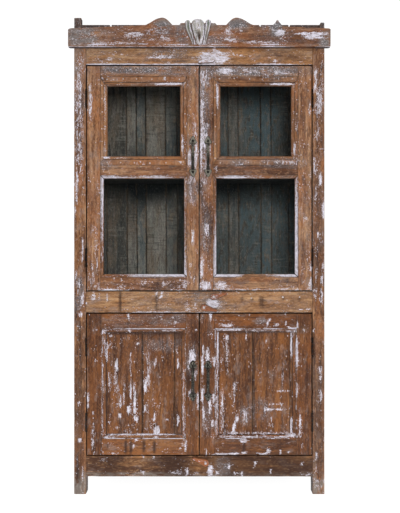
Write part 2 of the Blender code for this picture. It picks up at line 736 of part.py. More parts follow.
# Doors
def door_x(sign, hinge_inset, meeting_inset):
    return (sign * (INNER - HINGE_GAP - hinge_inset), sign * (CENTRE_GAP / 2 + meeting_inset))


DOOR_Y = (FACE, FACE + DOOR_THICKNESS)
GLASS_Y = (FACE + GLASS_FACE_DEPTH + SEAT, FACE + GLASS_FACE_DEPTH + SEAT + GLASS_THICKNESS)
THROUGH_Y = grown(DOOR_Y, DOOR_THICKNESS)
REBATE_Y = (FACE + GLASS_FACE_DEPTH, THROUGH_Y[1])
MOULDING_SEAT = FACE + GLASS_FACE_DEPTH - MOULDING_LIP_THICKNESS

for side, sign in (("left", -1), ("right", 1)):
    meeting = LEFT_UPPER_MEETING_STILE if sign < 0 else RIGHT_UPPER_MEETING_STILE
    door = f"{side}_upper_door"
    axis = pivot(door + "_axis", (sign * AXIS_X, AXIS_Y, UPPER_DOOR_LOW))
    frame = block(door + "_frame", door_x(sign, 0, 0), DOOR_Y, (UPPER_DOOR_LOW, UPPER_DOOR_TOP))
    chamfer(frame, WOOD_CHAMFER)
    opening_x = door_x(sign, UPPER_HINGE_STILE, meeting)

    # Upper pane: a nailed moulding in front of the glass, on a narrow lip of the frame
    lip_x = grown(opening_x, -MOULDING_LIP)
    lip_z = grown(UPPER_PANE_Z, -MOULDING_LIP)
    pocket_y = (THROUGH_Y[0], MOULDING_SEAT)
    rebate_x = grown(lip_x, GLASS_REBATE)
    rebate_z = grown(lip_z, GLASS_REBATE)
    cut(
        frame,
        block(door + "_moulding_pocket", opening_x, pocket_y, UPPER_PANE_Z, cutters),
        block(door + "_top_light", lip_x, THROUGH_Y, lip_z, cutters),
        block(door + "_top_rebate", rebate_x, REBATE_Y, rebate_z, cutters),
    )
    moulding_x = grown(opening_x, -SEAT)
    moulding_z = grown(UPPER_PANE_Z, -SEAT)
    moulding_y = (FACE - MOULDING_PROUD, MOULDING_SEAT - SEAT)
    moulding = block(door + "_moulding", moulding_x, moulding_y, moulding_z)
    sight_x = grown(opening_x, -MOULDING_SIDE_WIDTH)
    sight_z = grown(UPPER_PANE_Z, -MOULDING_END_WIDTH)
    bevel_y = (moulding_y[0], moulding_y[0] + MOULDING_BEVEL_DEPTH)
    fillet_end = MOULDING_FILLET + MOULDING_END_WIDTH - MOULDING_SIDE_WIDTH
    cut(
        moulding,
        block(door + "_sight", sight_x, THROUGH_Y, sight_z, cutters),
        splayed_cutter(
            door + "_moulding_bevel",
            (grown(opening_x, -MOULDING_FILLET), grown(UPPER_PANE_Z, -fillet_end)),
            (sight_x, sight_z),
            bevel_y,
        ),
    )

    # Lower pane: a slim bead worked on the frame
    bead_x = grown(opening_x, -BEAD_WIDTH)
    bead_z = grown(LOWER_PANE_Z, -BEAD_WIDTH)
    step_y = FACE + BEAD_STEP
    rebate_x = grown(bead_x, GLASS_REBATE)
    rebate_z = grown(bead_z, GLASS_REBATE)
    cut(
        frame,
        block(door + "_bead_step", opening_x, (THROUGH_Y[0], step_y), LOWER_PANE_Z, cutters),
        splayed_cutter(
            door + "_bead_bevel",
            (grown(opening_x, -BEAD_QUIRK), grown(LOWER_PANE_Z, -BEAD_QUIRK)),
            (bead_x, bead_z),
            (step_y, step_y + BEAD_BEVEL_DEPTH),
        ),
        block(door + "_bottom_light", bead_x, THROUGH_Y, bead_z, cutters),
        block(door + "_bottom_rebate", rebate_x, REBATE_Y, rebate_z, cutters),
    )
    fit = GLASS_REBATE - SEAT
    top_glass = block(door + "_top_glass", grown(lip_x, fit), GLASS_Y, grown(lip_z, fit))
    bottom_glass = block(door + "_bottom_glass", grown(bead_x, fit), GLASS_Y, grown(bead_z, fit))
    for glass in (top_glass, bottom_glass):
        finish(glass, CLEAR_GLASS, 0.05, 0.0, 1.0)
    finish(frame, WARM_TEAK)
    finish(moulding, PALE_TEAK)
    for piece in (frame, moulding, top_glass, bottom_glass):
        hang(piece, axis)
    hinge(side, sign, "upper_door", "top", UPPER_DOOR_TOP - HINGE_INSET, axis)
    hinge(side, sign, "upper_door", "bottom", UPPER_DOOR_LOW + HINGE_INSET, axis)
    handle(side, sign, "upper_door", UPPER_DOOR_LOW + UPPER_HANDLE_RISE, axis)

PANEL_FACE = FACE + PANEL_MOULDING_DEPTH + PANEL_LIP
GROOVE_Y = (PANEL_FACE, PANEL_FACE + PANEL_BOARD_THICKNESS + 2 * SEAT)
BOARD_Y = grown(GROOVE_Y, -SEAT)

for side, sign in (("left", -1), ("right", 1)):
    meeting = LEFT_LOWER_MEETING_STILE if sign < 0 else RIGHT_LOWER_MEETING_STILE
    joint = sign * (LEFT_PANEL_JOINT if sign < 0 else RIGHT_PANEL_JOINT)
    line = sign * (LEFT_PANEL_LINE if sign < 0 else RIGHT_PANEL_LINE)
    door = f"{side}_lower_door"
    axis = pivot(door + "_axis", (sign * AXIS_X, AXIS_Y, LOWER_DOOR_LOW))
    frame = block(door + "_frame", door_x(sign, 0, 0), DOOR_Y, (LOWER_DOOR_LOW, LOWER_DOOR_TOP))
    chamfer(frame, WOOD_CHAMFER)
    opening_x = door_x(sign, LOWER_HINGE_STILE, meeting)
    opening_z = (LOWER_DOOR_LOW + LOWER_BOTTOM_RAIL, LOWER_DOOR_TOP - LOWER_TOP_RAIL)
    field_x = grown(opening_x, -PANEL_MOULDING_WIDTH)
    field_z = grown(opening_z, -PANEL_MOULDING_WIDTH)
    groove_x = grown(field_x, PANEL_BOARD_GROOVE)
    groove_z = grown(field_z, PANEL_BOARD_GROOVE)
    bevel_y = (FACE, FACE + PANEL_MOULDING_DEPTH)
    cut(
        frame,
        splayed_cutter(door + "_panel_bevel", (opening_x, opening_z), (field_x, field_z), bevel_y),
        block(door + "_field", field_x, THROUGH_Y, field_z, cutters),
        block(door + "_panel_groove", groove_x, GROOVE_Y, groove_z, cutters),
    )
    finish(frame, DARK_TEAK)
    board_z = grown(groove_z, -SEAT)
    edges = sorted(grown(groove_x, -SEAT), key=abs)
    meeting_board = block(door + "_meeting_board", (edges[0], joint - sign * SEAT / 2), BOARD_Y, board_z)
    hinge_board = block(door + "_hinge_board", (joint + sign * SEAT / 2, edges[1]), BOARD_Y, board_z)
    for board in (meeting_board, hinge_board):
        chamfer(board, WOOD_CHAMFER)
        finish(board, DARK_TEAK)
    grooved = meeting_board if abs(line) < abs(joint) else hinge_board
    line_x = (line - BOARD_LINE_WIDTH / 2, line + BOARD_LINE_WIDTH / 2)
    line_y = (BOARD_Y[0] - BOARD_LINE_DEPTH, BOARD_Y[0] + BOARD_LINE_DEPTH)
    cut(grooved, block(door + "_board_line", line_x, line_y, grown(board_z, SEAT), cutters))
    for piece in (frame, meeting_board, hinge_board):
        hang(piece, axis)
    hinge(side, sign, "lower_door", "top", LOWER_DOOR_TOP - HINGE_INSET, axis)
    hinge(side, sign, "lower_door", "bottom", LOWER_DOOR_LOW + HINGE_INSET, axis)
    handle(side, sign, "lower_door", LOWER_DOOR_TOP - LOWER_HANDLE_DROP, axis)


# Turn buttons: wooden teardrops, each on a screw in a rail, turned clear of the doors
def teardrop(steps=10):
    reach = BUTTON_REACH - BUTTON_TIP_RADIUS
    lean = math.asin((BUTTON_HEAD_RADIUS - BUTTON_TIP_RADIUS) / reach)
    points = []
    for step in range(steps + 1):
        turn = -lean + (math.pi + 2 * lean) * step / steps
        points.append((BUTTON_HEAD_RADIUS * math.cos(turn), BUTTON_HEAD_RADIUS * math.sin(turn)))
    for step in range(steps // 2 + 1):
        turn = math.pi + lean + (math.pi - 2 * lean) * step / (steps // 2)
        points.append((BUTTON_TIP_RADIUS * math.cos(turn), -reach + BUTTON_TIP_RADIUS * math.sin(turn)))
    return points


def ring(radius, count=12):
    turns = [2 * math.pi * step / count for step in range(count)]
    return [(radius * math.cos(turn), radius * math.sin(turn)) for turn in turns]


def screw_mesh(name, length):
    """A round-headed screw with its head towards -Y, turned about its own axis."""
    head = BUTTON_SCREW_HEAD_HEIGHT
    dome = (0, 0.5, 1.0, math.pi / 2)
    profile = [(BUTTON_SCREW_HEAD_RADIUS * math.sin(turn), head * math.cos(turn)) for turn in dome]
    profile += [(BUTTON_SCREW_RADIUS, 0), (BUTTON_SCREW_RADIUS, -length), (0, -length)]
    mesh = bpy.data.meshes.new(name)
    mesh.from_pydata([(x, 0, z) for x, z in profile], [(n, n + 1) for n in range(len(profile) - 1)], [])
    obj = add_object(name, mesh, cutters)
    turning = obj.modifiers.new("turned", "SCREW")
    turning.steps = 12
    turning.render_steps = 12
    turning.use_merge_vertices = True
    turning.merge_threshold = 0.00001
    turned = evaluated_mesh(obj, name)
    bpy.data.objects.remove(obj, do_unlink=True)
    weld(turned)
    return facing_front(turned)


BUTTON_FRONT = FACE - RUNNING - BUTTON_THICKNESS
HEAD_SEAT = BUTTON_FRONT - RUNNING
screw_length = FACE + BUTTON_SCREW_GRIP - HEAD_SEAT
button_hole = ring(BUTTON_SCREW_RADIUS + RUNNING)
drop = facing_front(outline_mesh("button", [teardrop(), button_hole], BUTTON_THICKNESS))

# Each: name, rail, place across, height, and the turn of its tail from straight down, seen from the front
BUTTONS = (
    ("frieze", frieze_rail, FRIEZE_BUTTON_PLACE, FRIEZE_LOW + FRIEZE_BUTTON_RISE, -BUTTON_SIDE_ANGLE),
    (
        "middle_up",
        middle_rail,
        MIDDLE_UP_BUTTON_PLACE,
        MIDDLE_RAIL_TOP - MIDDLE_UP_BUTTON_DROP,
        math.pi - BUTTON_SIDE_ANGLE,
    ),
    (
        "middle_down",
        middle_rail,
        MIDDLE_DOWN_BUTTON_PLACE,
        MIDDLE_RAIL_LOW + MIDDLE_DOWN_BUTTON_RISE,
        BUTTON_SIDE_ANGLE,
    ),
    (
        "bottom",
        bottom_rail,
        BOTTOM_BUTTON_PLACE,
        BOTTOM_RAIL_TOP - BOTTOM_BUTTON_DROP,
        math.pi + BOTTOM_BUTTON_SIDE_ANGLE,
    ),
)
for name, rail, place, height, turn in BUTTONS:
    button = add_object(name + "_turn_button", drop.copy(), cabinet)
    button.location = (place, FACE - RUNNING - BUTTON_THICKNESS / 2, height)
    button.rotation_euler = (0, -turn, 0)
    finish(button, PAINTED_BUTTON if name == "frieze" else WARM_TEAK, 0.75)
    screw = add_object(name + "_button_screw", screw_mesh(name + "_button_screw", screw_length), cabinet)
    screw.location = (place, HEAD_SEAT, height)
    smooth(screw)
    finish(screw, RUSTY_IRON, 0.5, 0.85)
    hole_y = (FACE - RAIL_THICKNESS, FACE + BUTTON_SCREW_GRIP + SEAT)
    cut(rail, rod(name + "_screw_hole", BUTTON_SCREW_RADIUS + SEAT, hole_y, place, height, 12))
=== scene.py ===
import math
import random

import bmesh
import bpy
from mathutils import Matrix, Vector, noise


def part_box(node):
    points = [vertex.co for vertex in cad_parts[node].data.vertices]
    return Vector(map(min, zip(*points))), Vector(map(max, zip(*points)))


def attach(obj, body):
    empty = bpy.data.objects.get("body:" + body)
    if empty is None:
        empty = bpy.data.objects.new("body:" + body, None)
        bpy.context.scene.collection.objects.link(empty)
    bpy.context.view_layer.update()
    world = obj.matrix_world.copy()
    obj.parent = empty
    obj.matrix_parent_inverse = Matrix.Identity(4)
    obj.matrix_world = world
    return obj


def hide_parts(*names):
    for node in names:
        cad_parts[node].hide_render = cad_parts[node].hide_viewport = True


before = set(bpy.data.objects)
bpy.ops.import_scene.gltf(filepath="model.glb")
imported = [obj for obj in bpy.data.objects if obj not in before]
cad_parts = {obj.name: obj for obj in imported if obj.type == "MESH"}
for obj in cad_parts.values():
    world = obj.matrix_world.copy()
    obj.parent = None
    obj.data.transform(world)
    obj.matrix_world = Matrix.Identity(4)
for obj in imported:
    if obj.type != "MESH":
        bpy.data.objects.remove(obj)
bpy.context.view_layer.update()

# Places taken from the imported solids, in metres
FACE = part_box("left_upper_door_frame")[0].y
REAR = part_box("left_back_post")[1].y
POST_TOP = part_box("left_back_post")[1].z
CASE_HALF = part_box("right_back_post")[1].x

# Scale of the photograph: its columns and rows on the plane of the doors
PIXEL = 0.00384
MIDDLE_COLUMN = 199.3
FLOOR_ROW = 494.3
PICTURE_COLUMNS = 400
PICTURE_ROWS = 513
CAMERA_DISTANCE = 2.5
SENSOR = 36.0
EYE_X = (PICTURE_COLUMNS / 2 - MIDDLE_COLUMN) * PIXEL
EYE_Z = (FLOOR_ROW - PICTURE_ROWS / 2) * PIXEL


def picture(column, row, ahead=0.0):
    """Place of a column and row of the photograph, on the doors' plane or ahead of it."""
    nearer = (CAMERA_DISTANCE - ahead) / CAMERA_DISTANCE
    x = EYE_X + ((column - MIDDLE_COLUMN) * PIXEL - EYE_X) * nearer
    z = EYE_Z + ((FLOOR_ROW - row) * PIXEL - EYE_Z) * nearer
    return x, z


# How boards are made: spacing of points, rounding, rubbing and chipping of edges, tones, and dirt with
# painted shade on the narrow sides, the corners beside them and the ends
EDGE_BAND = 0.006
EDGE_ROUND = 0.0016
EDGE_LIMIT = 0.0060
EDGE_SHARE = 0.42
LEAST_BANDS = 2.6
RUB_SCALE = 30
RUB_APART = 7.3
RUB_SHARE = 0.5
CHIP_SCALE = 16
CHIP_APART = 5.1
CHIP_START = 40
CHIP_LEVEL = 0.22
CHIP_DEPTH = 0.0065
CORNER_WEAR = 0.25
CORNER_RUB = 0.55
CORNER_DIRT_AND_SHADE = 1.5
CORNER_CLEAN = 0.35
FRONT_SPACING = 0.0065
FRONT_STEP = 0.010
PLAIN_STEP = 0.032
BOARD_ENDS = ((0.0, 0.85), (0.35, 0.3))
BOARD_END_WEAR = 0.3
BOARD_END_DIRT_AND_SHADE = 1.4
BOARD_TONES = (0.36, 0.64)
# dirt and painted shade on the narrow sides and ends of boards, where they sit in gaps and joints
SIDE_DIRT_AND_SHADE = 1.0
OPEN_SIDE = 0.14
INNER_SIDE = 0.5
GRAIN_ROOM = 20.0
SHARP = math.radians(52)

# How mitred strips are made
STRIP_STEP = 0.010
STRIP_TONES = (0.4, 0.62)
STRIP_WEAR = 0.2
STRIP_WAVE = 0.00025
WAVES_ALONG = 60
WAVES_DEEP = 200
MITRE_GAP = 0.0003
MITRE_LINE = 0.0036
MITRE_SOIL = 0.9

# Door joinery
HINGE_STILE = {"upper": 0.052, "lower": 0.058}
MEETING_STILE = {"left_upper": 0.046, "right_upper": 0.053, "left_lower": 0.050, "right_lower": 0.058}
TOP_RAIL = {"upper": 0.0435, "lower": 0.058}
BOTTOM_RAIL = {"upper": 0.0525, "lower": 0.063}
LOWER_PANE_HEIGHT = 0.391
MIDDLE_RAIL = 0.039
PANEL_LINE = {"left": -0.096, "right": 0.350}

# Old paint, wear, stains and painted shadows seen on the front: column, row, width, height, strength
PAINT_MARKS = (
    # cornice
    (135, 34.5, 18, 5, 0.72), (133, 33, 6, 3, 0.9), (165, 38, 10, 7, 0.72), (92, 39, 8, 2, 0.6),
    (122, 43.2, 56, 1.4, 0.75), (215, 40, 22, 4.5, 0.45), (232, 39.5, 16, 4.5, 0.8), (258, 42, 32, 3, 0.75),
    (288, 42.5, 22, 2.5, 0.45), (311, 33.5, 30, 3.2, 0.95), (314, 37, 16, 4, 0.95), (322, 40, 10, 9, 0.42),
    (228, 32, 5, 6, 0.8), (241, 31, 4, 7, 0.75), (280, 32.5, 10, 6, 0.95), (273, 30, 3, 7, 0.7),
    (181, 33, 7, 7, 0.5), (186, 41, 6, 5, 0.5), (109, 41, 20, 3, 0.4), (153, 40, 6, 3, 0.6),
    (128, 35, 84, 13, 0.42),
    # frieze
    (110, 59, 8, 2.6, 0.75), (128, 61.5, 3, 2, 0.85), (159, 57.2, 30, 1.8, 0.8), (196, 58, 8, 6, 0.6),
    (214, 58, 27, 13, 0.93), (214.5, 50, 3, 6, 0.95), (240, 55.5, 16, 1.6, 0.7), (250, 59, 10, 3, 0.5),
    (270, 58.5, 6, 2, 0.8), (275, 61.5, 4, 3.4, 0.9),
    # left post
    (81, 98, 3, 40, 0.85), (78, 104, 2.4, 24, 0.75), (76.6, 186, 2, 36, 0.85), (75.5, 215, 1.6, 14, 0.75),
    (82.4, 250, 2, 26, 0.88), (79.5, 259, 3, 5, 0.6), (76.5, 274, 2.4, 10, 0.75), (78, 286, 4, 14, 0.7),
    (82.5, 299, 3, 12, 0.92), (80.5, 314, 4.4, 5, 0.85), (79, 403, 3, 4, 0.9), (77, 425, 1.6, 28, 0.6),
    (80, 440, 1.6, 6, 0.85), (82.5, 472, 2, 14, 0.85), (77.5, 461, 1.6, 10, 0.7), (79, 140, 2.4, 30, 0.6),
    # right post
    (315.3, 80, 2.4, 24, 0.95), (319.5, 101, 5, 26, 0.82), (322, 84, 1.8, 30, 0.6), (318, 132, 3, 22, 0.7),
    (314.6, 165, 2.2, 18, 0.9), (320.5, 180, 3.4, 13, 0.95), (323, 210, 2.6, 16, 0.95),
    (315.6, 194, 1.8, 14, 0.8), (318, 235, 2.2, 6, 1.0), (322.5, 236, 2, 22, 0.6), (322.5, 266, 2, 7, 0.85),
    (322.2, 280, 2.4, 11, 0.92), (316, 274, 1.6, 12, 0.75), (321.5, 296, 3.6, 14, 0.8),
    (315.5, 295, 2, 13, 0.75), (320.5, 369, 5, 5, 0.85), (320.3, 378, 2, 7, 0.9), (321, 396, 2.6, 11, 0.92),
    (316.5, 456, 2.6, 8, 0.9), (316.5, 470, 1.6, 10, 0.8), (314.2, 331, 1.6, 5, 0.9),
    (319, 480.5, 8, 3, 0.75), (319, 487, 8, 2.6, 0.85), (317, 423, 1.4, 14, 0.6),
    # posts near the top
    (79, 120, 8, 110, 0.68), (319, 120, 8, 100, 0.46),
    # nailed mouldings
    (170, 84, 28, 1.8, 0.92), (283, 84.2, 24, 2.2, 0.92), (217.4, 95, 2, 22, 0.95),
    (106.5, 157.6, 7, 2, 0.95), (294.4, 150, 1.6, 13, 0.92), (104.8, 100, 1.6, 30, 0.62),
    (104.8, 132, 1.6, 18, 0.5), (119, 158, 14, 1.8, 0.66), (182.6, 146, 1.6, 18, 0.85),
    (104.4, 146, 1.6, 12, 0.6), (296.5, 122, 1.6, 20, 0.5),
    # upper left door
    (90.3, 101, 3.4, 30, 0.92), (94, 252, 8, 50, 0.36), (97.5, 262, 2.2, 14, 0.85), (91, 274, 7, 28, 0.6),
    (98.5, 285, 3, 8, 0.75), (110, 290, 20, 1.8, 0.95), (177, 290.2, 14, 1.6, 0.65),
    (114.5, 279, 1.8, 3, 0.85), (121, 280, 1.8, 4, 0.85), (144, 283, 3, 3, 0.85), (163.5, 284, 4.4, 6, 0.88),
    (185, 284, 4, 10, 0.72), (131, 288.6, 4, 2.6, 0.65), (193.5, 282, 2, 8, 0.7), (193, 152, 9, 50, 0.6),
    (196.5, 150, 2, 34, 0.85), (190.6, 196, 3, 20, 0.72), (193, 237, 3, 14, 0.95), (190.5, 265, 2.6, 5, 0.9),
    (190, 273, 1.8, 6, 0.7), (192, 180, 8, 8, 0.62), (181, 162.5, 7, 3, 0.65), (193, 205, 5, 8, 0.5),
    (189.1, 158, 2.8, 20, 0.86), (195.8, 157, 2.8, 22, 0.95), (194.4, 130, 4, 16, 0.72),
    (140, 284, 84, 9, 0.36),
    # upper right door
    (225, 70.5, 13, 6, 0.9), (254, 70.5, 30, 5, 0.6), (282, 72.5, 17, 4, 0.82), (204, 78, 8, 16, 0.78),
    (202, 118, 3, 40, 0.85), (206, 150, 5, 46, 0.68), (201.2, 150, 2, 40, 0.9), (203.5, 181, 6, 8, 0.62),
    (201.8, 268, 2.6, 20, 0.95), (206.8, 230, 4, 14, 0.88), (205, 250, 7, 20, 0.5), (203, 200, 4, 14, 0.5),
    (205, 285.5, 11, 8, 0.93), (221, 285, 11, 7, 0.88), (229, 287.5, 9, 4, 0.7),
    (286.5, 288.8, 6, 1.8, 0.92), (303.5, 282.4, 2.2, 3, 0.95), (311, 284, 1.8, 12, 0.92),
    (308.4, 285, 2.6, 4, 0.85), (264, 289.7, 94, 1.1, 0.7), (306.8, 219, 3.6, 5, 0.8),
    (311.4, 266, 1.6, 10, 0.92), (308, 247, 5, 44, 0.36), (309.5, 110, 1.8, 18, 0.8),
    (239, 163.6, 10, 3, 0.72), (265, 162.5, 8, 4, 0.68), (286.5, 162.7, 21, 3.4, 0.78),
    (215.5, 169, 3, 6, 0.85), (202.6, 96, 4, 14, 0.7), (203.4, 140, 4, 14, 0.86), (209.6, 151, 2, 11, 0.8),
    (205, 126, 8, 7, 0.7),
    # middle rail
    (90.6, 297, 2, 6, 0.95), (94.6, 296.6, 2, 7, 0.95), (98.4, 296, 2, 7, 0.95), (106.4, 298, 1.9, 9, 0.92),
    (156, 293.4, 2, 3, 0.95), (162.3, 294.5, 2.4, 6, 0.92), (160, 297.5, 2, 3, 0.8),
    (187.5, 306.5, 5, 7, 0.72), (190, 309.5, 4, 3, 0.7), (213, 303.5, 12, 8, 0.97),
    (300.5, 309.8, 3, 1.8, 0.97), (307.6, 309.2, 3.8, 2.6, 1.0), (86.5, 303.5, 2, 2, 0.9),
    (196.3, 304.5, 1.6, 5, 0.9), (197, 292, 4, 2, 0.6),
    # lower left door
    (121, 315.4, 8, 2, 0.6), (128.7, 316, 1.8, 5, 0.92), (161, 316.6, 2.4, 6, 0.92),
    (173.6, 316.6, 2, 5, 0.92), (176, 322.6, 3, 1.8, 0.92), (96.2, 330.4, 1.8, 2, 1.0),
    (95.6, 361, 3, 4, 0.85), (88.4, 397, 2.4, 10, 0.92), (88, 407, 2, 6, 0.7), (93, 439, 2.4, 26, 0.76),
    (94, 453.4, 3, 2, 0.92), (93.3, 412.6, 1.8, 3, 0.92), (104, 332, 4, 4, 0.9), (129.5, 331, 3, 2.6, 0.95),
    (170, 330.6, 26, 1.2, 0.66), (106.6, 352, 1.1, 20, 0.78), (104.2, 346, 1.4, 16, 0.7),
    (183.5, 402, 2, 74, 0.7), (110, 437.4, 12, 1.8, 0.9), (156.5, 437.2, 4, 2, 1.0),
    (109.5, 382, 2, 20, 0.82), (116.8, 366, 2.8, 13, 1.0), (115.6, 381, 3.6, 17, 0.75),
    (118, 389, 2.2, 8, 0.85), (124.6, 384, 1.8, 16, 0.72), (130.3, 357, 1.8, 10, 0.85),
    (130.8, 372, 2.6, 14, 0.74), (130.8, 391, 2.4, 20, 0.95), (134.6, 401, 2.8, 32, 0.96),
    (137.6, 362, 2.6, 5, 0.65), (148.3, 370, 4.4, 36, 0.76), (145, 386, 2.6, 14, 0.92),
    (155.5, 363, 2.4, 10, 0.84), (178, 363.5, 2, 10, 0.97), (177, 350, 1.6, 12, 0.74),
    (110.4, 345, 3, 3, 0.85), (138, 343.5, 4, 3, 0.92), (111, 335, 4, 3, 0.75), (120, 402, 2, 14, 0.8),
    (123.6, 398, 2, 12, 0.92), (128.7, 410, 3.6, 8, 0.97), (120, 415.6, 2.6, 6, 0.97),
    (136.5, 419, 3, 4.6, 1.0), (110, 420, 2, 14, 0.55), (145, 408, 1.8, 6, 0.95), (153.6, 398, 1.8, 40, 0.5),
    (154.5, 417, 2.6, 8, 0.97), (153, 421, 12, 1.4, 0.85), (148, 411.5, 10, 1.4, 0.55),
    (156.6, 430, 6, 8, 1.0), (147.5, 429, 6, 2.6, 0.72), (118, 426.6, 12, 1.3, 0.7),
    (132, 425, 12, 1.2, 0.7), (117, 428.4, 2.6, 3, 0.92), (127, 431, 5, 4, 0.72),
    (143, 434.4, 72, 1.8, 0.84), (178, 421, 1.8, 10, 0.97), (166.5, 419.5, 5, 3, 0.76),
    (150, 350, 6, 2, 0.6), (163, 348, 16, 1.6, 0.6), (192.4, 356, 6, 13, 0.96), (188.6, 365, 2.4, 10, 0.92),
    (195.6, 374, 3, 10, 0.84), (191.5, 393, 6, 7, 0.86), (197.6, 401, 2.2, 16, 0.92),
    (195.8, 329, 4, 2.4, 0.92), (196, 319, 4, 6, 0.55), (186, 446, 1.5, 10, 0.92), (181, 448, 2, 2, 0.95),
    (133.6, 446, 3.6, 4, 0.97), (137, 440, 2.4, 2.6, 0.95), (112, 453.4, 13, 1.7, 0.78),
    (102.6, 396, 1.1, 82, 0.68),
    # lower right door
    (226, 325.4, 13, 3, 0.84), (224, 321.6, 8, 4, 0.55), (210.5, 316, 2.6, 8, 0.92),
    (267.4, 323.5, 2, 5, 0.97), (270.5, 319.6, 2, 3.4, 0.97), (274, 320.4, 2, 3, 0.92),
    (277.4, 324.4, 3, 2, 0.95), (285.6, 323.5, 2, 5, 0.95), (288.5, 327.4, 3, 2, 0.95),
    (293.5, 328.3, 7, 1.3, 0.92), (297.6, 325, 1.5, 6, 0.95), (303.6, 331, 6, 1.4, 0.95),
    (230, 329.6, 26, 2, 0.95), (262, 330.3, 40, 1.6, 0.65), (291, 331, 10, 1.8, 0.74),
    (218, 347, 1.8, 32, 0.95), (296.8, 352, 1.6, 30, 0.97), (297, 390, 1.5, 14, 0.84),
    (300.4, 423, 1.8, 24, 0.97), (292, 435.4, 11, 2.6, 0.95), (227, 338, 3, 6, 0.92),
    (226.6, 351, 1.8, 26, 0.72), (228, 368, 1.9, 10, 0.84), (223, 345, 1.8, 8, 0.74),
    (221.6, 365, 4, 12, 0.6), (246, 336.6, 2, 6, 0.97), (266.3, 341, 1.6, 4, 1.0),
    (291.4, 345, 2.2, 24, 0.95), (282.5, 372, 2.4, 24, 0.58), (287.5, 367, 1.6, 8, 0.56),
    (257, 392, 7, 1.7, 0.76), (283, 390.7, 12, 1.1, 0.85), (234.6, 388, 2.4, 12, 0.84),
    (234.5, 398, 1.9, 8, 0.95), (222, 410, 3.6, 44, 0.74), (234, 428.5, 3.4, 12, 1.0),
    (237, 418.5, 3.4, 8, 0.84), (245, 415, 4.4, 13, 0.76), (266, 407, 3.4, 14, 0.68),
    (275, 404, 16, 1.1, 0.78), (274, 409.5, 18, 1.3, 0.95), (271.5, 418.3, 1.9, 3, 1.0),
    (272, 424, 14, 1.1, 0.7), (291.4, 425, 2, 14, 0.95), (257, 433.4, 72, 1.7, 0.76),
    (203.5, 352, 1.9, 16, 0.92), (208, 356, 3.6, 13, 0.96), (202.6, 366, 3, 20, 0.96),
    (213.5, 362, 3.4, 9, 0.88), (202.6, 395, 3.4, 12, 0.96), (209.8, 406, 3, 14, 0.97),
    (203.7, 415, 2, 16, 0.95), (213.5, 398, 2.6, 8, 0.92), (206.5, 430, 1.8, 6, 0.92),
    (212.5, 424, 3.4, 8, 0.92), (206.5, 451.5, 2.2, 8, 1.0), (243.5, 441, 8, 3, 0.97),
    (244.5, 452.4, 5, 2.4, 1.0), (225, 453.8, 30, 1.3, 0.84), (262, 453.6, 10, 1.4, 0.84),
    (268.6, 451, 3.4, 5, 0.92), (281, 452, 1.8, 4, 0.95), (289.5, 452, 2.3, 3, 0.97),
    (222.5, 444.5, 1.8, 3, 0.84), (301.5, 448, 1.4, 10, 0.74), (217, 396, 1.1, 80, 0.72),
    (257, 436.8, 76, 1.1, 0.76), (208, 332, 5, 7, 0.5),
    # bottom rail
    (187, 471, 3.6, 6, 0.97), (175, 472.6, 10, 4, 0.74), (142.5, 472.6, 2.6, 5, 0.85),
    (104, 458.5, 8, 4, 0.62), (144, 457.4, 1.8, 3, 0.95), (154.6, 457.4, 1.6, 3, 0.97),
    (196, 473, 4, 3, 0.74), (210.5, 470, 5, 11, 0.97), (218, 473, 6, 5, 0.84), (235, 473, 4, 4, 0.92),
    (241.5, 473.5, 3, 4.6, 0.85), (255.4, 464, 2.3, 5, 0.97), (228.5, 466.5, 1.8, 6, 0.92),
    (270, 471.6, 2.6, 4, 0.92), (301.5, 464, 1.8, 4, 0.76), (306, 474, 10, 2.2, 0.6), (125, 474, 16, 2, 0.6),
)
SCUFF_MARKS = (
    (82, 36, 26, 14, 0.6), (162, 26, 14, 7, 0.9), (163, 30, 14, 5, 0.8), (238, 25, 16, 7, 0.95),
    (277, 27, 11, 13, 1.0), (181, 33, 9, 14, 0.7), (323, 40, 9, 12, 0.7), (215, 39, 22, 7, 0.6),
    (168, 53, 34, 9, 0.5), (133, 70, 46, 5.4, 1.0), (113, 68, 16, 4, 0.8), (176, 70, 28, 9, 0.6),
    (250, 71, 84, 9, 0.9), (204, 90, 9, 46, 0.7), (205, 158, 8, 60, 0.5), (193, 190, 9, 22, 0.6),
    (106, 164, 9, 7, 0.6), (239, 163, 14, 6, 0.6), (282, 163, 34, 7, 0.6), (205, 228, 8, 40, 0.5),
    (179, 318, 10, 8, 0.5), (160, 345, 28, 9, 0.5), (261, 322, 8, 5, 0.7), (262, 410, 18, 16, 0.34),
    (245, 415, 8, 14, 0.6), (223, 466, 10, 12, 0.55), (213, 303.5, 17, 11, 0.7), (196, 298, 5, 12, 0.5),
    (192, 360, 9, 24, 0.4), (207, 420, 8, 24, 0.4), (78, 300, 5, 16, 0.7), (79, 287, 7, 18, 0.6),
    (145, 321, 66, 9, 0.3),
)
GREY_MARKS = (
    (82, 36, 26, 15, 0.7), (80, 486, 12, 16, 0.95), (319, 486, 12, 15, 0.85), (140, 474.5, 112, 3.4, 0.8),
    (255, 474.5, 110, 3, 0.6), (200, 24, 44, 5, 0.7), (325, 40, 7, 14, 0.7), (300, 330, 12, 4, 0.4),
    (164, 25, 12, 9, 0.6), (238, 24, 16, 9, 0.6), (277, 28, 9, 12, 0.7), (79, 62, 10, 34, 0.5),
)
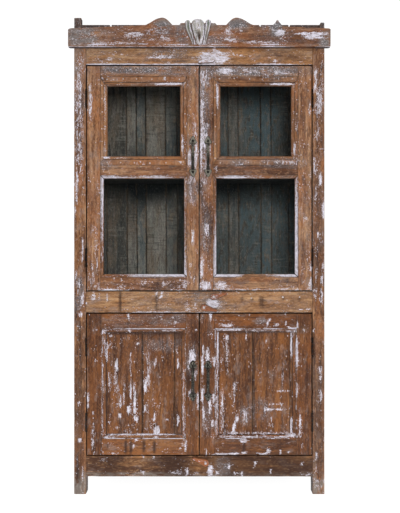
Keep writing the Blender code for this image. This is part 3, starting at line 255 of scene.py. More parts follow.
# dark stains, and painted shadows under the lower panels' top mouldings and below the rail nails
STAIN_AND_SHADOW_MARKS = (
    (120, 301, 1.6, 18, 0.9), (157, 302, 1.6, 14, 0.8), (243, 299, 2, 5, 0.7), (262, 302, 5, 9, 0.7),
    (157, 284, 2, 6, 0.8), (126.3, 447, 2, 12, 0.95), (131.5, 447, 1.7, 12, 0.95), (143.5, 446, 2, 10, 0.9),
    (154.5, 447, 2.4, 10, 0.95), (106.5, 446, 2, 6, 0.75), (244, 446.5, 3.6, 9, 0.95),
    (77, 468, 2.4, 24, 1.0), (128.5, 322, 1.4, 16, 0.6), (93.5, 447, 3, 10, 0.8), (117, 378, 2, 16, 0.7),
    (303, 322, 12, 14, 0.5), (241, 352, 3, 22, 0.45), (188, 379, 4, 14, 0.7), (207, 463, 4, 10, 0.7),
    # the small marks just below the rail nails, in this line and the next, are painted shadows of their heads
    (286.5, 281, 2, 5, 0.8), (283, 298.4, 2.6, 2.6, 0.8), (300, 298.2, 2.6, 2.6, 0.9),
    (251.8, 299.4, 2.6, 2.4, 0.8), (79, 425, 9, 120, 0.6), (319, 425, 9, 110, 0.58), (319, 235, 9, 120, 0.5),
    (262, 465, 112, 22, 0.7), (257, 446, 80, 14, 0.40), (258, 168.5, 88, 8, 0.42), (262, 283, 66, 10, 0.38),
    (280, 38, 60, 9, 0.5), (270, 56, 60, 12, 0.26), (205.3, 132, 2.6, 2.6, 1.0), (199.6, 187.5, 2.4, 7, 1.0),
    (142.5, 383, 1, 98, 0.92), (253.3, 383, 1, 98, 0.92), (174.4, 383, 1, 96, 0.75), (290, 383, 1, 96, 0.5),
    # the first mark here is a painted shadow line under the left lower panel's top moulding
    (145, 333.6, 76, 1, 0.9), (94, 320, 12, 14, 0.5), (200, 187, 6, 12, 0.8), (85.8, 262, 2, 22, 0.8),
    (155, 426, 3, 4, 0.8), (100, 464, 18, 14, 0.5), (150, 335, 5, 8, 0.7), (178.5, 338, 5, 14, 0.6),
    (314, 345, 1.4, 40, 0.7), (192, 385, 7, 110, 0.42), (207, 385, 7, 110, 0.42), (190, 200, 7, 180, 0.31),
    # the last mark here is a painted shadow line under the right lower panel's top moulding
    (307.5, 180, 8, 190, 0.3), (255, 332, 70, 1, 0.85),
)
MARK_CELL = 16
MARK_LEAST = 1.05
MARK_FADE = 1.8
MARK_SQUARENESS = 3
MARK_DEPTH = 0.012
PATCHES = (9, 9, 3.5)
PATCHINESS = 1.1


def cells_of(middle, half):
    """The cells that a mark reaches in one direction."""
    return range(int((middle - 2 * half) // MARK_CELL), int((middle + 2 * half) // MARK_CELL) + 1)


def mark_table():
    """The marks by the part of the front that they reach."""
    cells = {}
    for kind, marks in enumerate((PAINT_MARKS, SCUFF_MARKS, GREY_MARKS, STAIN_AND_SHADOW_MARKS)):
        for column, row, width, height, strength in marks:
            half_width = max(width / 2, MARK_LEAST)
            half_height = max(height / 2, MARK_LEAST)
            mark = (kind, column, row, half_width, half_height, strength)
            for cell_x in cells_of(column, half_width):
                for cell_z in cells_of(row, half_height):
                    cells.setdefault((cell_x, cell_z), []).append(mark)
    return cells


MARKS = mark_table()


def marks_at(place):
    """Strength of paint, scuffing, greying, and staining with painted shadow, at a place on the front."""
    farther = CAMERA_DISTANCE / (CAMERA_DISTANCE + place.y - FACE)
    column = MIDDLE_COLUMN + (EYE_X + (place.x - EYE_X) * farther) / PIXEL
    row = FLOOR_ROW - (EYE_Z + (place.z - EYE_Z) * farther) / PIXEL
    found = [0.0, 0.0, 0.0, 0.0]
    cell = (int(column // MARK_CELL), int(row // MARK_CELL))
    for kind, mark_column, mark_row, half_width, half_height, strength in MARKS.get(cell, ()):
        sideways = abs(column - mark_column) / half_width
        upwards = abs(row - mark_row) / half_height
        away = (sideways**MARK_SQUARENESS + upwards**MARK_SQUARENESS) ** (1 / MARK_SQUARENESS)
        share = min(1.0, max(0.0, MARK_FADE - away))
        found[kind] = max(found[kind], strength * share)
    return found


def finish_of(place, weather, marked):
    """Paint, scuffing, greying, and staining with painted shade, of a point, from its piece's own weather and
    the marks.
    """
    swing = noise.noise(place * Vector(PATCHES))
    amounts = [max(0.0, base * (1 + PATCHINESS * swing)) for base in weather]
    if marked and place.y < FACE + MARK_DEPTH:
        amounts = [max(pair) for pair in zip(amounts, marks_at(place))]
    return amounts


class Form:
    """Gathers closed shapes into one mesh."""

    def __init__(self):
        self.shape = bmesh.new()

    def point(self, place):
        return self.shape.verts.new(place)

    def skin(self, rings):
        """Joins rings of points into a closed shape with two ends."""
        count = len(rings[0])
        for first, second in zip(rings, rings[1:]):
            for number in range(count):
                following = (number + 1) % count
                self.shape.faces.new((first[number], first[following], second[following], second[number]))
        self.shape.faces.new(rings[0])
        self.shape.faces.new(rings[-1])

    def mesh(self, name):
        bmesh.ops.recalc_face_normals(self.shape, faces=self.shape.faces)
        mesh = bpy.data.meshes.new(name)
        self.shape.to_mesh(mesh)
        self.shape.free()
        mesh.polygons.foreach_set("use_smooth", [True] * len(mesh.polygons))
        mesh.set_sharp_from_angle(angle=SHARP)
        return mesh


class Timber(Form):
    """A form of boards and strips that keeps the grain, the board and the finish on each point."""

    def __init__(self, seed):
        super().__init__()
        self.grain = self.shape.verts.layers.float_vector.new("grain")
        self.kind = self.shape.verts.layers.float_vector.new("board")
        self.finish = self.shape.verts.layers.float_vector.new("finish")
        self.random = random.Random(seed)

    def shift(self):
        """A place of its own in the grain for each board."""
        return Vector([self.random.uniform(0, GRAIN_ROOM) for _ in range(3)])

    def point(self, place, grain, tone, edge, weather, marked):
        vertex = self.shape.verts.new(place)
        paint, scuff, grey, stain_and_shade = finish_of(place, weather, marked)
        vertex[self.grain] = grain
        vertex[self.kind] = (tone, edge, stain_and_shade)
        vertex[self.finish] = (paint, scuff, grey)
        return vertex

    def board(
        self, low, high, along, weather, fine=False, tone=None, lean=(0.0, 0.0), edge=EDGE_ROUND, trim=(0, 0),
        grime=(SIDE_DIRT_AND_SHADE, SIDE_DIRT_AND_SHADE), soot=(),
    ):
        """One board between two corners with worn edges, its grain along the named axis.

        Trim is the paint left on the two edges of its front, grime the dirt and painted shade on its two
        narrow sides, soot the bands of soot and painted shade across its front: distance along the board,
        reach and strength.
        """
        low = Vector(low)
        high = Vector(high)
        axis = "xyz".index(along)
        across, through = ((2, 1), (0, 2), (0, 1))[axis]
        width = high[across] - low[across]
        depth = high[through] - low[through]
        length = high[axis] - low[axis]
        shift = self.shift()
        tone = self.random.uniform(*BOARD_TONES) if tone is None else tone
        seed = self.random.uniform(0, 100)

        front = evenly(width, FRONT_SPACING if fine else width)
        back = list(reversed(evenly(width, width)))
        right = evenly(depth, depth)
        left = list(reversed(right))
        limit = min(EDGE_LIMIT, EDGE_SHARE * width, EDGE_SHARE * depth)
        rings = []
        for station, inset in stations(length, FRONT_STEP if fine else PLAIN_STEP, edge):
            radii = []
            for corner in range(4):
                rub = noise.noise(Vector((station * RUB_SCALE, corner * RUB_APART, seed)))
                chipped = noise.noise(Vector((station * CHIP_SCALE, corner * CHIP_APART + CHIP_START, seed)))
                radius = edge * (1 + RUB_SHARE * rub) + CHIP_DEPTH * max(0.0, chipped - CHIP_LEVEL)
                radii.append(min(limit, radius))
            section = []
            section += arc(radii[0], radii[0], radii[0], 180, trim[0], grime[0])
            section += [(place, 0.0, 0.0, 0.0, 0.0) for place in front]
            section += arc(width - radii[1], radii[1], radii[1], 270, trim[1], grime[1])
            section += [(width, place, 0.0, grime[1], 0.0) for place in right]
            section += arc(width - radii[2], depth - radii[2], radii[2], 0, 0.0, grime[1])
            section += [(place, depth, 0.0, 0.0, 0.0) for place in back]
            section += arc(radii[3], depth - radii[3], radii[3], 90, 0.0, grime[0])
            section += [(0.0, place, 0.0, grime[0], 0.0) for place in left]
            ring = []
            for side, deep, wear, soil_and_shade, paint in section:
                side = min(max(side, inset), width - inset)
                deep = min(max(deep, inset), depth - inset)
                place = Vector(low)
                share = side / width
                slant = (lean[0] * (1 - share) + lean[1] * share) * (station / length - 0.5)
                place[axis] += station
                place[across] += side + slant
                place[through] += deep
                grain = shift + Vector((side, deep, station))
                wear = max(wear, BOARD_END_WEAR * inset / edge)
                # the rounded ends take dirt and painted shade as the narrow sides do
                soil_and_shade = max(soil_and_shade, SIDE_DIRT_AND_SHADE * min(1.0, BOARD_END_DIRT_AND_SHADE * inset / edge))
                # bands of soot and painted shade across the front of the board
                for middle, reach, strength in soot:
                    if deep < depth / 2:
                        soil_and_shade = max(soil_and_shade, strength * max(0.0, 1 - abs(station - middle) / reach))
                own = (max(weather[0], paint), weather[1], weather[2], max(weather[3], soil_and_shade))
                ring.append(self.point(place, grain, tone, wear, own, fine))
            rings.append(ring)
        self.skin(rings)

    def mitred(self, low, high, profile, weather, marked=True, tone=None):
        """Four mitred strips inside a rectangle. Profile: inset at sides, at ends, depth, paint, soil with
        painted shade.
        """
        corners = ((low[0], low[1]), (high[0], low[1]), (high[0], high[1]), (low[0], high[1]))
        inward = ((1, 1), (-1, 1), (-1, -1), (1, -1))
        for number in range(4):
            following = (number + 1) % 4
            shift = self.shift()
            strip_tone = self.random.uniform(*STRIP_TONES) if tone is None else tone
            length = math.dist(corners[number], corners[following])
            count = max(2, round(length / STRIP_STEP))
            places = [MITRE_GAP, MITRE_LINE]
            places += [length * station / count for station in range(1, count)]
            places += [length - MITRE_LINE, length - MITRE_GAP]
            rings = []
            for along in places:
                share = along / length
                mitre = MITRE_SOIL if min(along, length - along) < MITRE_LINE / 2 else 0.0
                ring = []
                for side_inset, end_inset, depth, paint, soil_and_shade in profile:
                    start_x = corners[number][0] + inward[number][0] * side_inset
                    start_z = corners[number][1] + inward[number][1] * end_inset
                    stop_x = corners[following][0] + inward[following][0] * side_inset
                    stop_z = corners[following][1] + inward[following][1] * end_inset
                    x = start_x + (stop_x - start_x) * share
                    z = start_z + (stop_z - start_z) * share
                    waves = Vector((x * WAVES_ALONG, depth * WAVES_DEEP, z * WAVES_ALONG))
                    wobble = STRIP_WAVE * noise.noise(waves)
                    grain = shift + Vector((side_inset, depth, along))
                    own = (paint * (1 - mitre), weather[1], weather[2], max(weather[3], soil_and_shade, mitre))
                    place = Vector((x, FACE + depth + wobble, z))
                    ring.append(self.point(place, grain, strip_tone, STRIP_WEAR, own, marked))
                rings.append(ring)
            self.skin(rings)


def evenly(length, spacing):
    """Places along one side of a section: near both ends, and evenly between them."""
    if length < LEAST_BANDS * EDGE_BAND:
        return [length / 2]
    count = max(1, round((length - 2 * EDGE_BAND) / spacing))
    return [EDGE_BAND + (length - 2 * EDGE_BAND) * number / count for number in range(count + 1)]


def arc(side, deep, radius, start, paint, grime):
    """Three points round one corner of a section: place, wear, soil with painted shade, and paint of each."""
    points = []
    for turn in (0, 45, 90):
        angle = math.radians(start + turn)
        aside = abs(math.cos(angle))
        wear = CORNER_WEAR + CORNER_RUB * math.sin(2 * math.radians(turn))
        soil_and_shade = grime * min(1.0, CORNER_DIRT_AND_SHADE * max(0.0, aside - CORNER_CLEAN))
        points.append((side + radius * math.cos(angle), deep + radius * math.sin(angle), wear, soil_and_shade, paint))
    return points


def stations(length, step, edge):
    """Places along a board with the inset of its section there, rounded at both ends."""
    count = max(2, round((length - 2 * edge) / step))
    places = [(way * edge, inset * edge) for way, inset in BOARD_ENDS]
    places += [(edge + (length - 2 * edge) * number / count, 0.0) for number in range(count + 1)]
    places += [(length - way * edge, inset * edge) for way, inset in reversed(BOARD_ENDS)]
    return places


class Casting(Form):
    """An iron form that keeps on each point how pale its skin is: rubbed iron with a painted highlight."""

    def __init__(self):
        super().__init__()
        self.skin_layer = self.shape.verts.layers.float.new("pale_skin_and_highlight")

    def point(self, place, pale=0.0):
        vertex = self.shape.verts.new(place)
        vertex[self.skin_layer] = pale
        return vertex


# Node trees
class Wiring:
    """Adds nodes to one tree and joins them."""

    def __init__(self, tree):
        self.tree = tree

    def node(self, kind, **settings):
        node = self.tree.nodes.new(kind)
        for key, value in settings.items():
            setattr(node, key, value)
        return node

    def feed(self, socket, value):
        if isinstance(value, bpy.types.NodeSocket):
            self.tree.links.new(value, socket)
        else:
            socket.default_value = value

    def fed(self, node, **values):
        """The node, with values on its named sockets."""
        for label, value in values.items():
            self.feed(node.inputs[label], value)
        return node

    def math(self, operation, *values):
        node = self.node("ShaderNodeMath", operation=operation)
        for socket, value in zip(node.inputs, values):
            self.feed(socket, value)
        return node.outputs[0]

    def times(self, first, second):
        return self.math("MULTIPLY", first, second)

    def line(self, value, slope, start):
        """The start plus the slope times the value."""
        return self.math("MULTIPLY_ADD", value, slope, start)

    def rest(self, share):
        """What a share leaves of one."""
        return self.math("SUBTRACT", 1.0, share)

    def blend(self, share, first, second):
        node = self.node("ShaderNodeMix", data_type="RGBA")
        self.feed(node.inputs[0], share)
        self.feed(node.inputs[6], first)
        self.feed(node.inputs[7], second)
        return node.outputs[2]

    def scaled(self, vector, across, along):
        """A place in the grain, scaled across it and along it."""
        node = self.node("ShaderNodeVectorMath", operation="MULTIPLY")
        self.feed(node.inputs[0], vector)
        node.inputs[1].default_value = (across, across, along)
        return node.outputs[0]

    def noise(self, vector, across, along, detail=3.0, roughness=0.55):
        place = self.scaled(vector, across, along)
        node = self.node("ShaderNodeTexNoise")
        return self.fed(node, Vector=place, Scale=1.0, Detail=detail, Roughness=roughness).outputs["Fac"]

    def cells(self, vector, across, along):
        """A random value in each of many small cells."""
        place = self.scaled(vector, across, along)
        node = self.fed(self.node("ShaderNodeTexVoronoi"), Vector=place, Scale=1.0)
        return self.split(node.outputs["Color"])[0]

    def ramp(self, value, low, high):
        node = self.node("ShaderNodeMapRange", interpolation_type="SMOOTHSTEP")
        return self.fed(node, **{"Value": value, "From Min": low, "From Max": high}).outputs["Result"]

    def attribute(self, name):
        return self.node("ShaderNodeAttribute", attribute_name=name).outputs["Vector"]

    def split(self, vector):
        return self.fed(self.node("ShaderNodeSeparateXYZ"), Vector=vector).outputs

    def use(self, group, **values):
        return self.fed(self.node("ShaderNodeGroup", node_tree=group), **values).outputs

    def bump(self, height, strength, distance):
        node = self.node("ShaderNodeBump")
        return self.fed(node, Height=height, Strength=strength, Distance=distance).outputs["Normal"]


def new_group(name, inputs, outputs):
    """An empty shader group with sockets named by kind, its wiring and its two ends."""
    group = bpy.data.node_groups.new(name, "ShaderNodeTree")
    for way, sockets in (("INPUT", inputs), ("OUTPUT", outputs)):
        for kind, labels in sockets.items():
            for label in labels:
                group.interface.new_socket(label, in_out=way, socket_type="NodeSocket" + kind)
    wiring = Wiring(group)
    start = wiring.node("NodeGroupInput").outputs
    end = wiring.node("NodeGroupOutput").inputs
    return group, wiring, start, end


def tint(red, green, blue):
    """A colour from its 0 to 255 values on a screen."""
    values = []
    for part in (red, green, blue):
        share = part / 255
        values.append(share / 12.92 if share <= 0.04045 else ((share + 0.055) / 1.055) ** 2.4)
    return (*values, 1.0)


HAZE = tint(148, 131, 124)
OLD_PAINT = tint(222, 218, 230)
DIRTY_PAINT = tint(172, 163, 166)
CHARCOAL = tint(74, 74, 79)
DUST_PALE = tint(196, 193, 199)
SCUFF_GREY = tint(113, 111, 114)
# the colour of dark stains, also used for painted shade in gaps, creases and under the cornice
STAIN_AND_SHADE_BROWN = tint(54, 32, 22)
WEATHER_GREY = tint(146, 136, 127)
RUBBED_WOOD = tint(186, 142, 104)
CRACK_DARK = tint(40, 25, 18)


def make_plank_grain():
    """Streaks, figure, pores and fine cracks along the board, and marks of the saw across it."""
    group, wiring, start, end = new_group(
        "plank_grain",
        {"Vector": ["Grain"], "Float": ["Tone", "Sawn"], "Color": ["Dark", "Mid", "Pale", "Warm"]},
        {"Color": ["Color"], "Float": ["Height"]},
    )
    grain, dark, pale = start["Grain"], start["Dark"], start["Pale"]
    # the grain wanders a little from side to side
    bend = wiring.times(wiring.math("SUBTRACT", wiring.noise(grain, 7, 3.5, 2.0), 0.5), 0.02)
    offset = wiring.fed(wiring.node("ShaderNodeCombineXYZ"), X=bend, Y=bend)
    wavy = wiring.node("ShaderNodeVectorMath", operation="ADD")
    wiring.feed(wavy.inputs[0], grain)
    wiring.feed(wavy.inputs[1], offset.outputs[0])
    wavy = wavy.outputs[0]
    # streaks from fine to broad, from the dark tint through the middle one to the pale one
    streak = wiring.noise(wavy, 150, 9, 5.0, 0.65)
    fine = wiring.noise(wavy, 420, 40, 3.0, 0.6)
    band = wiring.noise(wavy, 74, 7, 2.0, 0.5)
    figure = wiring.noise(wavy, 30, 4, 3.0, 0.5)
    patch = wiring.noise(wavy, 8, 4, 3.0, 0.55)
    value = wiring.times(fine, 0.10)
    for layer, share in ((streak, 0.30), (band, 0.26), (figure, 0.18), (patch, 0.16)):
        value = wiring.line(layer, share, value)
    value = wiring.math("ADD", value, wiring.times(wiring.math("SUBTRACT", start["Tone"], 0.5), 0.4))
    color = wiring.blend(wiring.ramp(value, 0.39, 0.50), dark, start["Mid"])
    color = wiring.blend(wiring.ramp(value, 0.50, 0.60), color, pale)
    # warm patches, a grey haze, dirt and flecks
    lightness = wiring.ramp(value, 0.30, 0.47)
    glow = wiring.times(wiring.ramp(wiring.noise(wavy, 20, 5, 2.0), 0.48, 0.64), lightness)
    color = wiring.blend(wiring.times(glow, 0.62), color, start["Warm"])
    haze = wiring.ramp(wiring.noise(grain, 46, 19, 4.0, 0.6), 0.52, 0.66)
    color = wiring.blend(wiring.times(haze, wiring.line(lightness, 0.40, 0.08)), color, HAZE)
    dirt = wiring.ramp(wiring.noise(wavy, 66, 12, 3.0, 0.6), 0.56, 0.70)
    color = wiring.blend(wiring.times(dirt, 0.6), color, dark)
    fleck = wiring.cells(wavy, 330, 120)
    color = wiring.blend(wiring.times(wiring.ramp(fleck, 0.70, 1.0), 0.42), color, pale)
    color = wiring.blend(wiring.times(wiring.rest(wiring.ramp(fleck, 0.0, 0.32)), 0.45), color, dark)
    # marks of the saw across the grain
    saw = wiring.noise(grain, 16, 140, 2.0, 0.6)
    rough = wiring.times(wiring.ramp(wiring.noise(grain, 7, 6, 1.0), 0.44, 0.58), start["Sawn"])
    color = wiring.blend(wiring.times(rough, wiring.ramp(saw, 0.53, 0.66)), color, pale)
    color = wiring.blend(wiring.times(rough, wiring.rest(wiring.ramp(saw, 0.36, 0.47))), color, dark)
    # pores and fine cracks
    pores = wiring.ramp(wiring.noise(wavy, 1300, 70, 1.0), 0.57, 0.70)
    color = wiring.blend(wiring.times(pores, 0.45), color, dark)
    split = wiring.math("ABSOLUTE", wiring.math("SUBTRACT", wiring.noise(wavy, 150, 2.4, 1.0), 0.5))
    where = wiring.ramp(wiring.noise(wavy, 40, 9, 2.0), 0.54, 0.62)
    crack = wiring.times(wiring.rest(wiring.ramp(split, 0.004, 0.018)), where)
    color = wiring.blend(wiring.times(crack, 0.75), color, CRACK_DARK)
    height = wiring.line(streak, 0.5, wiring.times(fine, 0.5))
    height = wiring.line(wiring.times(rough, saw), 0.8, height)
    height = wiring.math("SUBTRACT", height, wiring.times(pores, 0.25))
    height = wiring.math("SUBTRACT", height, wiring.times(crack, 0.7))
    wiring.feed(end["Color"], color)
    wiring.feed(end["Height"], height)
    return group


def make_ageing():
    """Greying, dark stains with painted shade, sooty scuffing and rubbed edges over bare wood."""
    group, wiring, start, end = new_group(
        "ageing",
        {
            "Vector": ["Grain"],
            "Color": ["Color", "Grey Color", "Stain Color"],
            "Float": ["Edge", "Grey", "Stain", "Scuff"],
        },
        {"Color": ["Color"]},
    )
    grain, stain_and_shade, scuff = start["Grain"], start["Stain"], start["Scuff"]
    cloud = wiring.noise(grain, 70, 26, 4.0, 0.6)
    greyed = wiring.times(start["Grey"], wiring.ramp(cloud, 0.34, 0.58))
    color = wiring.blend(greyed, start["Color"], start["Grey Color"])
    # the stain input carries dark stains and painted shade alike
    dry = wiring.line(stain_and_shade, -0.38, 0.50)
    stained_and_shaded = wiring.ramp(wiring.noise(grain, 160, 36), dry, wiring.math("ADD", dry, 0.16))
    color = wiring.blend(wiring.times(stain_and_shade, stained_and_shaded), color, start["Stain Color"])
    veil = wiring.times(wiring.times(scuff, 0.75), wiring.ramp(cloud, 0.34, 0.56))
    color = wiring.blend(veil, color, SCUFF_GREY)
    dust = wiring.cells(grain, 480, 330)
    soot = wiring.times(scuff, wiring.ramp(dust, 0.52, 0.66))
    color = wiring.blend(wiring.times(soot, 0.75), color, CHARCOAL)
    chalk = wiring.rest(wiring.ramp(dust, 0.06, 0.13))
    color = wiring.blend(wiring.times(scuff, chalk), color, DUST_PALE)
    rub = wiring.ramp(wiring.noise(grain, 120, 40), 0.40, 0.62)
    color = wiring.blend(wiring.times(wiring.times(start["Edge"], 0.4), rub), color, RUBBED_WOOD)
    wiring.feed(end["Color"], color)
    return group


def make_flaking_paint():
    """What is left of old white paint: flakes drawn out along the grain, and specks in clusters."""
    group, wiring, start, end = new_group(
        "flaking_paint",
        {"Vector": ["Grain"], "Float": ["Amount"], "Color": ["Color"]},
        {"Color": ["Color"], "Float": ["Mask"]},
    )
    grain, amount = start["Grain"], start["Amount"]
    flake = wiring.noise(grain, 210, 50, 5.0, 0.7)
    crumb = wiring.noise(grain, 520, 260, 2.0, 0.6)
    value = wiring.line(flake, 0.62, wiring.times(crumb, 0.38))
    level = wiring.line(amount, -0.17, 0.69)
    level = wiring.line(wiring.math("POWER", amount, 2.0), -0.095, level)
    mask = wiring.ramp(value, wiring.math("SUBTRACT", level, 0.02), wiring.math("ADD", level, 0.03))
    least = wiring.line(amount, -0.42, 0.999)
    spot = wiring.ramp(wiring.cells(grain, 400, 230), least, wiring.math("ADD", least, 0.02))
    cluster = wiring.ramp(wiring.noise(grain, 42, 15, 2.0), 0.49, 0.62)
    mask = wiring.math("MAXIMUM", mask, wiring.times(wiring.times(spot, cluster), 0.7))
    grime = wiring.ramp(wiring.noise(grain, 180, 80), 0.40, 0.66)
    paint = wiring.blend(wiring.times(grime, 0.75), OLD_PAINT, DIRTY_PAINT)
    wiring.feed(end["Color"], wiring.blend(mask, start["Color"], paint))
    wiring.feed(end["Mask"], mask)
    return group


def make_iron_patina():
    """Old iron: mottled patina, rust in patches and a hammered, pitted skin."""
    group, wiring, start, end = new_group(
        "iron_patina",
        {"Vector": ["Place"], "Color": ["Dark", "Patina", "Rust"], "Float": ["Rusting", "Pale"]},
        {"Color": ["Color"], "Float": ["Roughness", "Height"]},
    )
    mottle = wiring.noise(start["Place"], 210, 210, 4.0, 0.62)
    pits = wiring.noise(start["Place"], 900, 900, 2.0)
    patches = wiring.noise(start["Place"], 120, 120)
    share = wiring.line(start["Pale"], 0.26, mottle)
    color = wiring.blend(wiring.ramp(share, 0.50, 0.76), start["Dark"], start["Patina"])
    level = wiring.line(start["Rusting"], -0.4, 0.72)
    rusty = wiring.ramp(patches, level, wiring.math("ADD", level, 0.08))
    wiring.feed(end["Color"], wiring.blend(rusty, color, start["Rust"]))
    wiring.feed(end["Roughness"], wiring.line(rusty, 0.25, wiring.line(mottle, 0.35, 0.28)))
    wiring.feed(end["Height"], wiring.line(pits, 0.4, wiring.times(mottle, 0.6)))
    return group


plank_grain = make_plank_grain()
ageing = make_ageing()
flaking_paint = make_flaking_paint()
iron_patina = make_iron_patina()
MATERIALS = {}


def new_material(slot):
    material = bpy.data.materials.new(slot)
    material.use_nodes = True
    MATERIALS[slot] = material
    return Wiring(material.node_tree), material.node_tree.nodes["Principled BSDF"].inputs


# Wood: paint that worn edges keep, shine of bare wood, and how much paint adds to roughness and height
EDGE_PAINT = 0.10
WOOD_ROUGHNESS = 0.58
PAINT_ROUGHNESS = 0.2
WOOD_SHINE = 0.28
PAINT_HEIGHT = 0.5
GRAIN_DEPTH = 0.0010


def weathered_wood(slot, dark, mid, pale, warm, grey=WEATHER_GREY, soil_and_shade=STAIN_AND_SHADE_BROWN, relief=0.5, sawn=0.0):
    wiring, shader = new_material(slot)
    grain = wiring.attribute("grain")
    tone, edge, stain_and_shade = wiring.split(wiring.attribute("board"))
    paint, scuff, greying = wiring.split(wiring.attribute("finish"))
    plank = wiring.use(
        plank_grain, Grain=grain, Tone=tone, Sawn=sawn, Dark=dark, Mid=mid, Pale=pale, Warm=warm
    )
    aged = wiring.use(
        ageing, Grain=grain, Color=plank["Color"], Edge=edge, Grey=greying, Stain=stain_and_shade, Scuff=scuff,
        **{"Grey Color": grey, "Stain Color": soil_and_shade},
    )
    amount = wiring.line(edge, EDGE_PAINT, paint)
    painted = wiring.use(flaking_paint, Grain=grain, Amount=amount, Color=aged["Color"])
    wiring.feed(shader["Base Color"], painted["Color"])
    wiring.feed(shader["Roughness"], wiring.line(painted["Mask"], PAINT_ROUGHNESS, WOOD_ROUGHNESS))
    shader["Specular IOR Level"].default_value = WOOD_SHINE
    height = wiring.line(painted["Mask"], PAINT_HEIGHT, plank["Height"])
    wiring.feed(shader["Normal"], wiring.bump(height, relief, GRAIN_DEPTH))


WOODS = {
    # dark, middle, pale and warm tint
    "post_wood": ((67, 40, 26), (134, 89, 57), (190, 145, 106), (166, 105, 60)),
    "rail_wood": ((84, 53, 35), (148, 105, 69), (192, 151, 110), (178, 122, 71)),
    "side_wood": ((80, 48, 30), (132, 86, 52), (166, 120, 80), (154, 94, 50)),
    "inside_wood": ((95, 87, 81), (154, 139, 128), (189, 177, 166), (170, 138, 112)),
    "top_wood": ((50, 35, 28), (90, 64, 49), (130, 102, 83), (104, 66, 44)),
    "cornice_wood": ((66, 38, 25), (122, 78, 50), (176, 130, 95), (150, 90, 48)),
    "limed_carving": ((92, 80, 70), (172, 169, 162), (216, 213, 208), (180, 172, 160)),
    "upper_door_wood": ((72, 43, 28), (134, 89, 59), (184, 141, 105), (168, 107, 63)),
    "moulding_wood": ((86, 52, 33), (140, 94, 61), (176, 130, 90), (160, 101, 58)),
    # the lower door woods are darker: partly their own colour, partly painted shade for the dimmer light low
    # on the front
    "lower_door_wood": ((68, 38, 22), (113, 68, 37), (152, 101, 59), (142, 84, 38)),
    "lower_panel_wood": ((72, 41, 23), (119, 73, 39), (162, 111, 66), (150, 92, 42)),
    "button_wood": ((100, 53, 30), (148, 88, 52), (176, 118, 78), (166, 92, 46)),
    "painted_button": ((120, 76, 58), (176, 140, 122), (205, 180, 168), (176, 130, 110)),
}
WOOD_CHANGES = {
    # the inside's stain colour is bluish black: its own stains, and the painted shade under the shelf
    "inside_wood": {"grey": tint(107, 123, 129), "soil_and_shade": tint(31, 37, 39), "relief": 0.3, "sawn": 0.5},
    "top_wood": {"sawn": 0.35},
    "limed_carving": {"grey": tint(112, 130, 117)},
}
for slot, tints in WOODS.items():
    weathered_wood(slot, *(tint(*parts) for parts in tints), **WOOD_CHANGES.get(slot, {}))

IRON_RELIEF = 0.6
PIT_DEPTH = 0.0008


def old_iron(slot, dark, patina, rust, rusting, metal=0.45):
    wiring, shader = new_material(slot)
    iron = wiring.use(
        iron_patina,
        Place=wiring.node("ShaderNodeTexCoord").outputs["Object"],
        Dark=dark,
        Patina=patina,
        Rust=rust,
        Rusting=rusting,
        Pale=wiring.split(wiring.attribute("pale_skin_and_highlight"))[0],
    )
    wiring.feed(shader["Base Color"], iron["Color"])
    wiring.feed(shader["Roughness"], iron["Roughness"])
    shader["Metallic"].default_value = metal
    wiring.feed(shader["Normal"], wiring.bump(iron["Height"], IRON_RELIEF, PIT_DEPTH))


old_iron("handle_iron", tint(30, 28, 25), tint(138, 134, 121), tint(70, 44, 30), 0.12, 0.2)
old_iron("hinge_iron", tint(28, 25, 23), tint(62, 55, 49), tint(86, 50, 31), 0.45)
old_iron("screw_iron", tint(186, 177, 176), tint(236, 233, 238), tint(112, 62, 36), 0.2, 0.05)

CLEAN_GLASS = tint(236, 244, 242)
FILMED_GLASS = tint(222, 234, 232)
GLASS_IOR = 1.45


def old_glass(slot):
    """Clear glass under a thin uneven film, which throws no shadow."""
    wiring, shader = new_material(slot)
    nodes = wiring.tree.nodes
    place = wiring.node("ShaderNodeTexCoord").outputs["Object"]
    film = wiring.ramp(wiring.noise(place, 24, 9), 0.3, 0.7)
    wiring.feed(shader["Base Color"], wiring.blend(film, CLEAN_GLASS, FILMED_GLASS))
    shader["Roughness"].default_value = 0.0
    shader["Transmission Weight"].default_value = 1.0
    shader["IOR"].default_value = GLASS_IOR
    mix = wiring.node("ShaderNodeMixShader")
    wiring.feed(mix.inputs[0], wiring.node("ShaderNodeLightPath").outputs["Is Shadow Ray"])
    wiring.feed(mix.inputs[1], nodes["Principled BSDF"].outputs[0])
    wiring.feed(mix.inputs[2], wiring.node("ShaderNodeBsdfTransparent").outputs[0])
    wiring.feed(nodes["Material Output"].inputs["Surface"], mix.outputs[0])


old_glass("window_glass")


def show(name, form, body, slot, *nodes):
    """One finished piece on its body, in its slot's material, in place of its solids."""
    piece = bpy.data.objects.new(name, form.mesh(name))
    bpy.context.scene.collection.objects.link(piece)
    piece.data.materials.append(MATERIALS[slot])
    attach(piece, body)
    if nodes:
        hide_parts(*nodes)


# Posts, with the stubs that stand above the top
POST_SIZE = 0.046
POST_ROUND = 0.0022
POST_TONE = 0.44
POST_WEATHER = {"left": (0.10, 0.05, 0.02, 0.16), "right": (0.09, 0.08, 0.02, 0.20)}
BACK_POST_WEATHER = (0.16, 0.1, 0.2, 0.15)
STUBS = {"left": (-0.481, -0.453, 1.830), "right": (0.465, 0.481, 1.812)}
STUB_DEPTH = 0.028
STUB_ROOT = 0.004
STUB_EASE = 0.0004
STUB_TONE = 0.25
STUB_WEATHER = (0.1, 0.5, 0.2, 0.7)
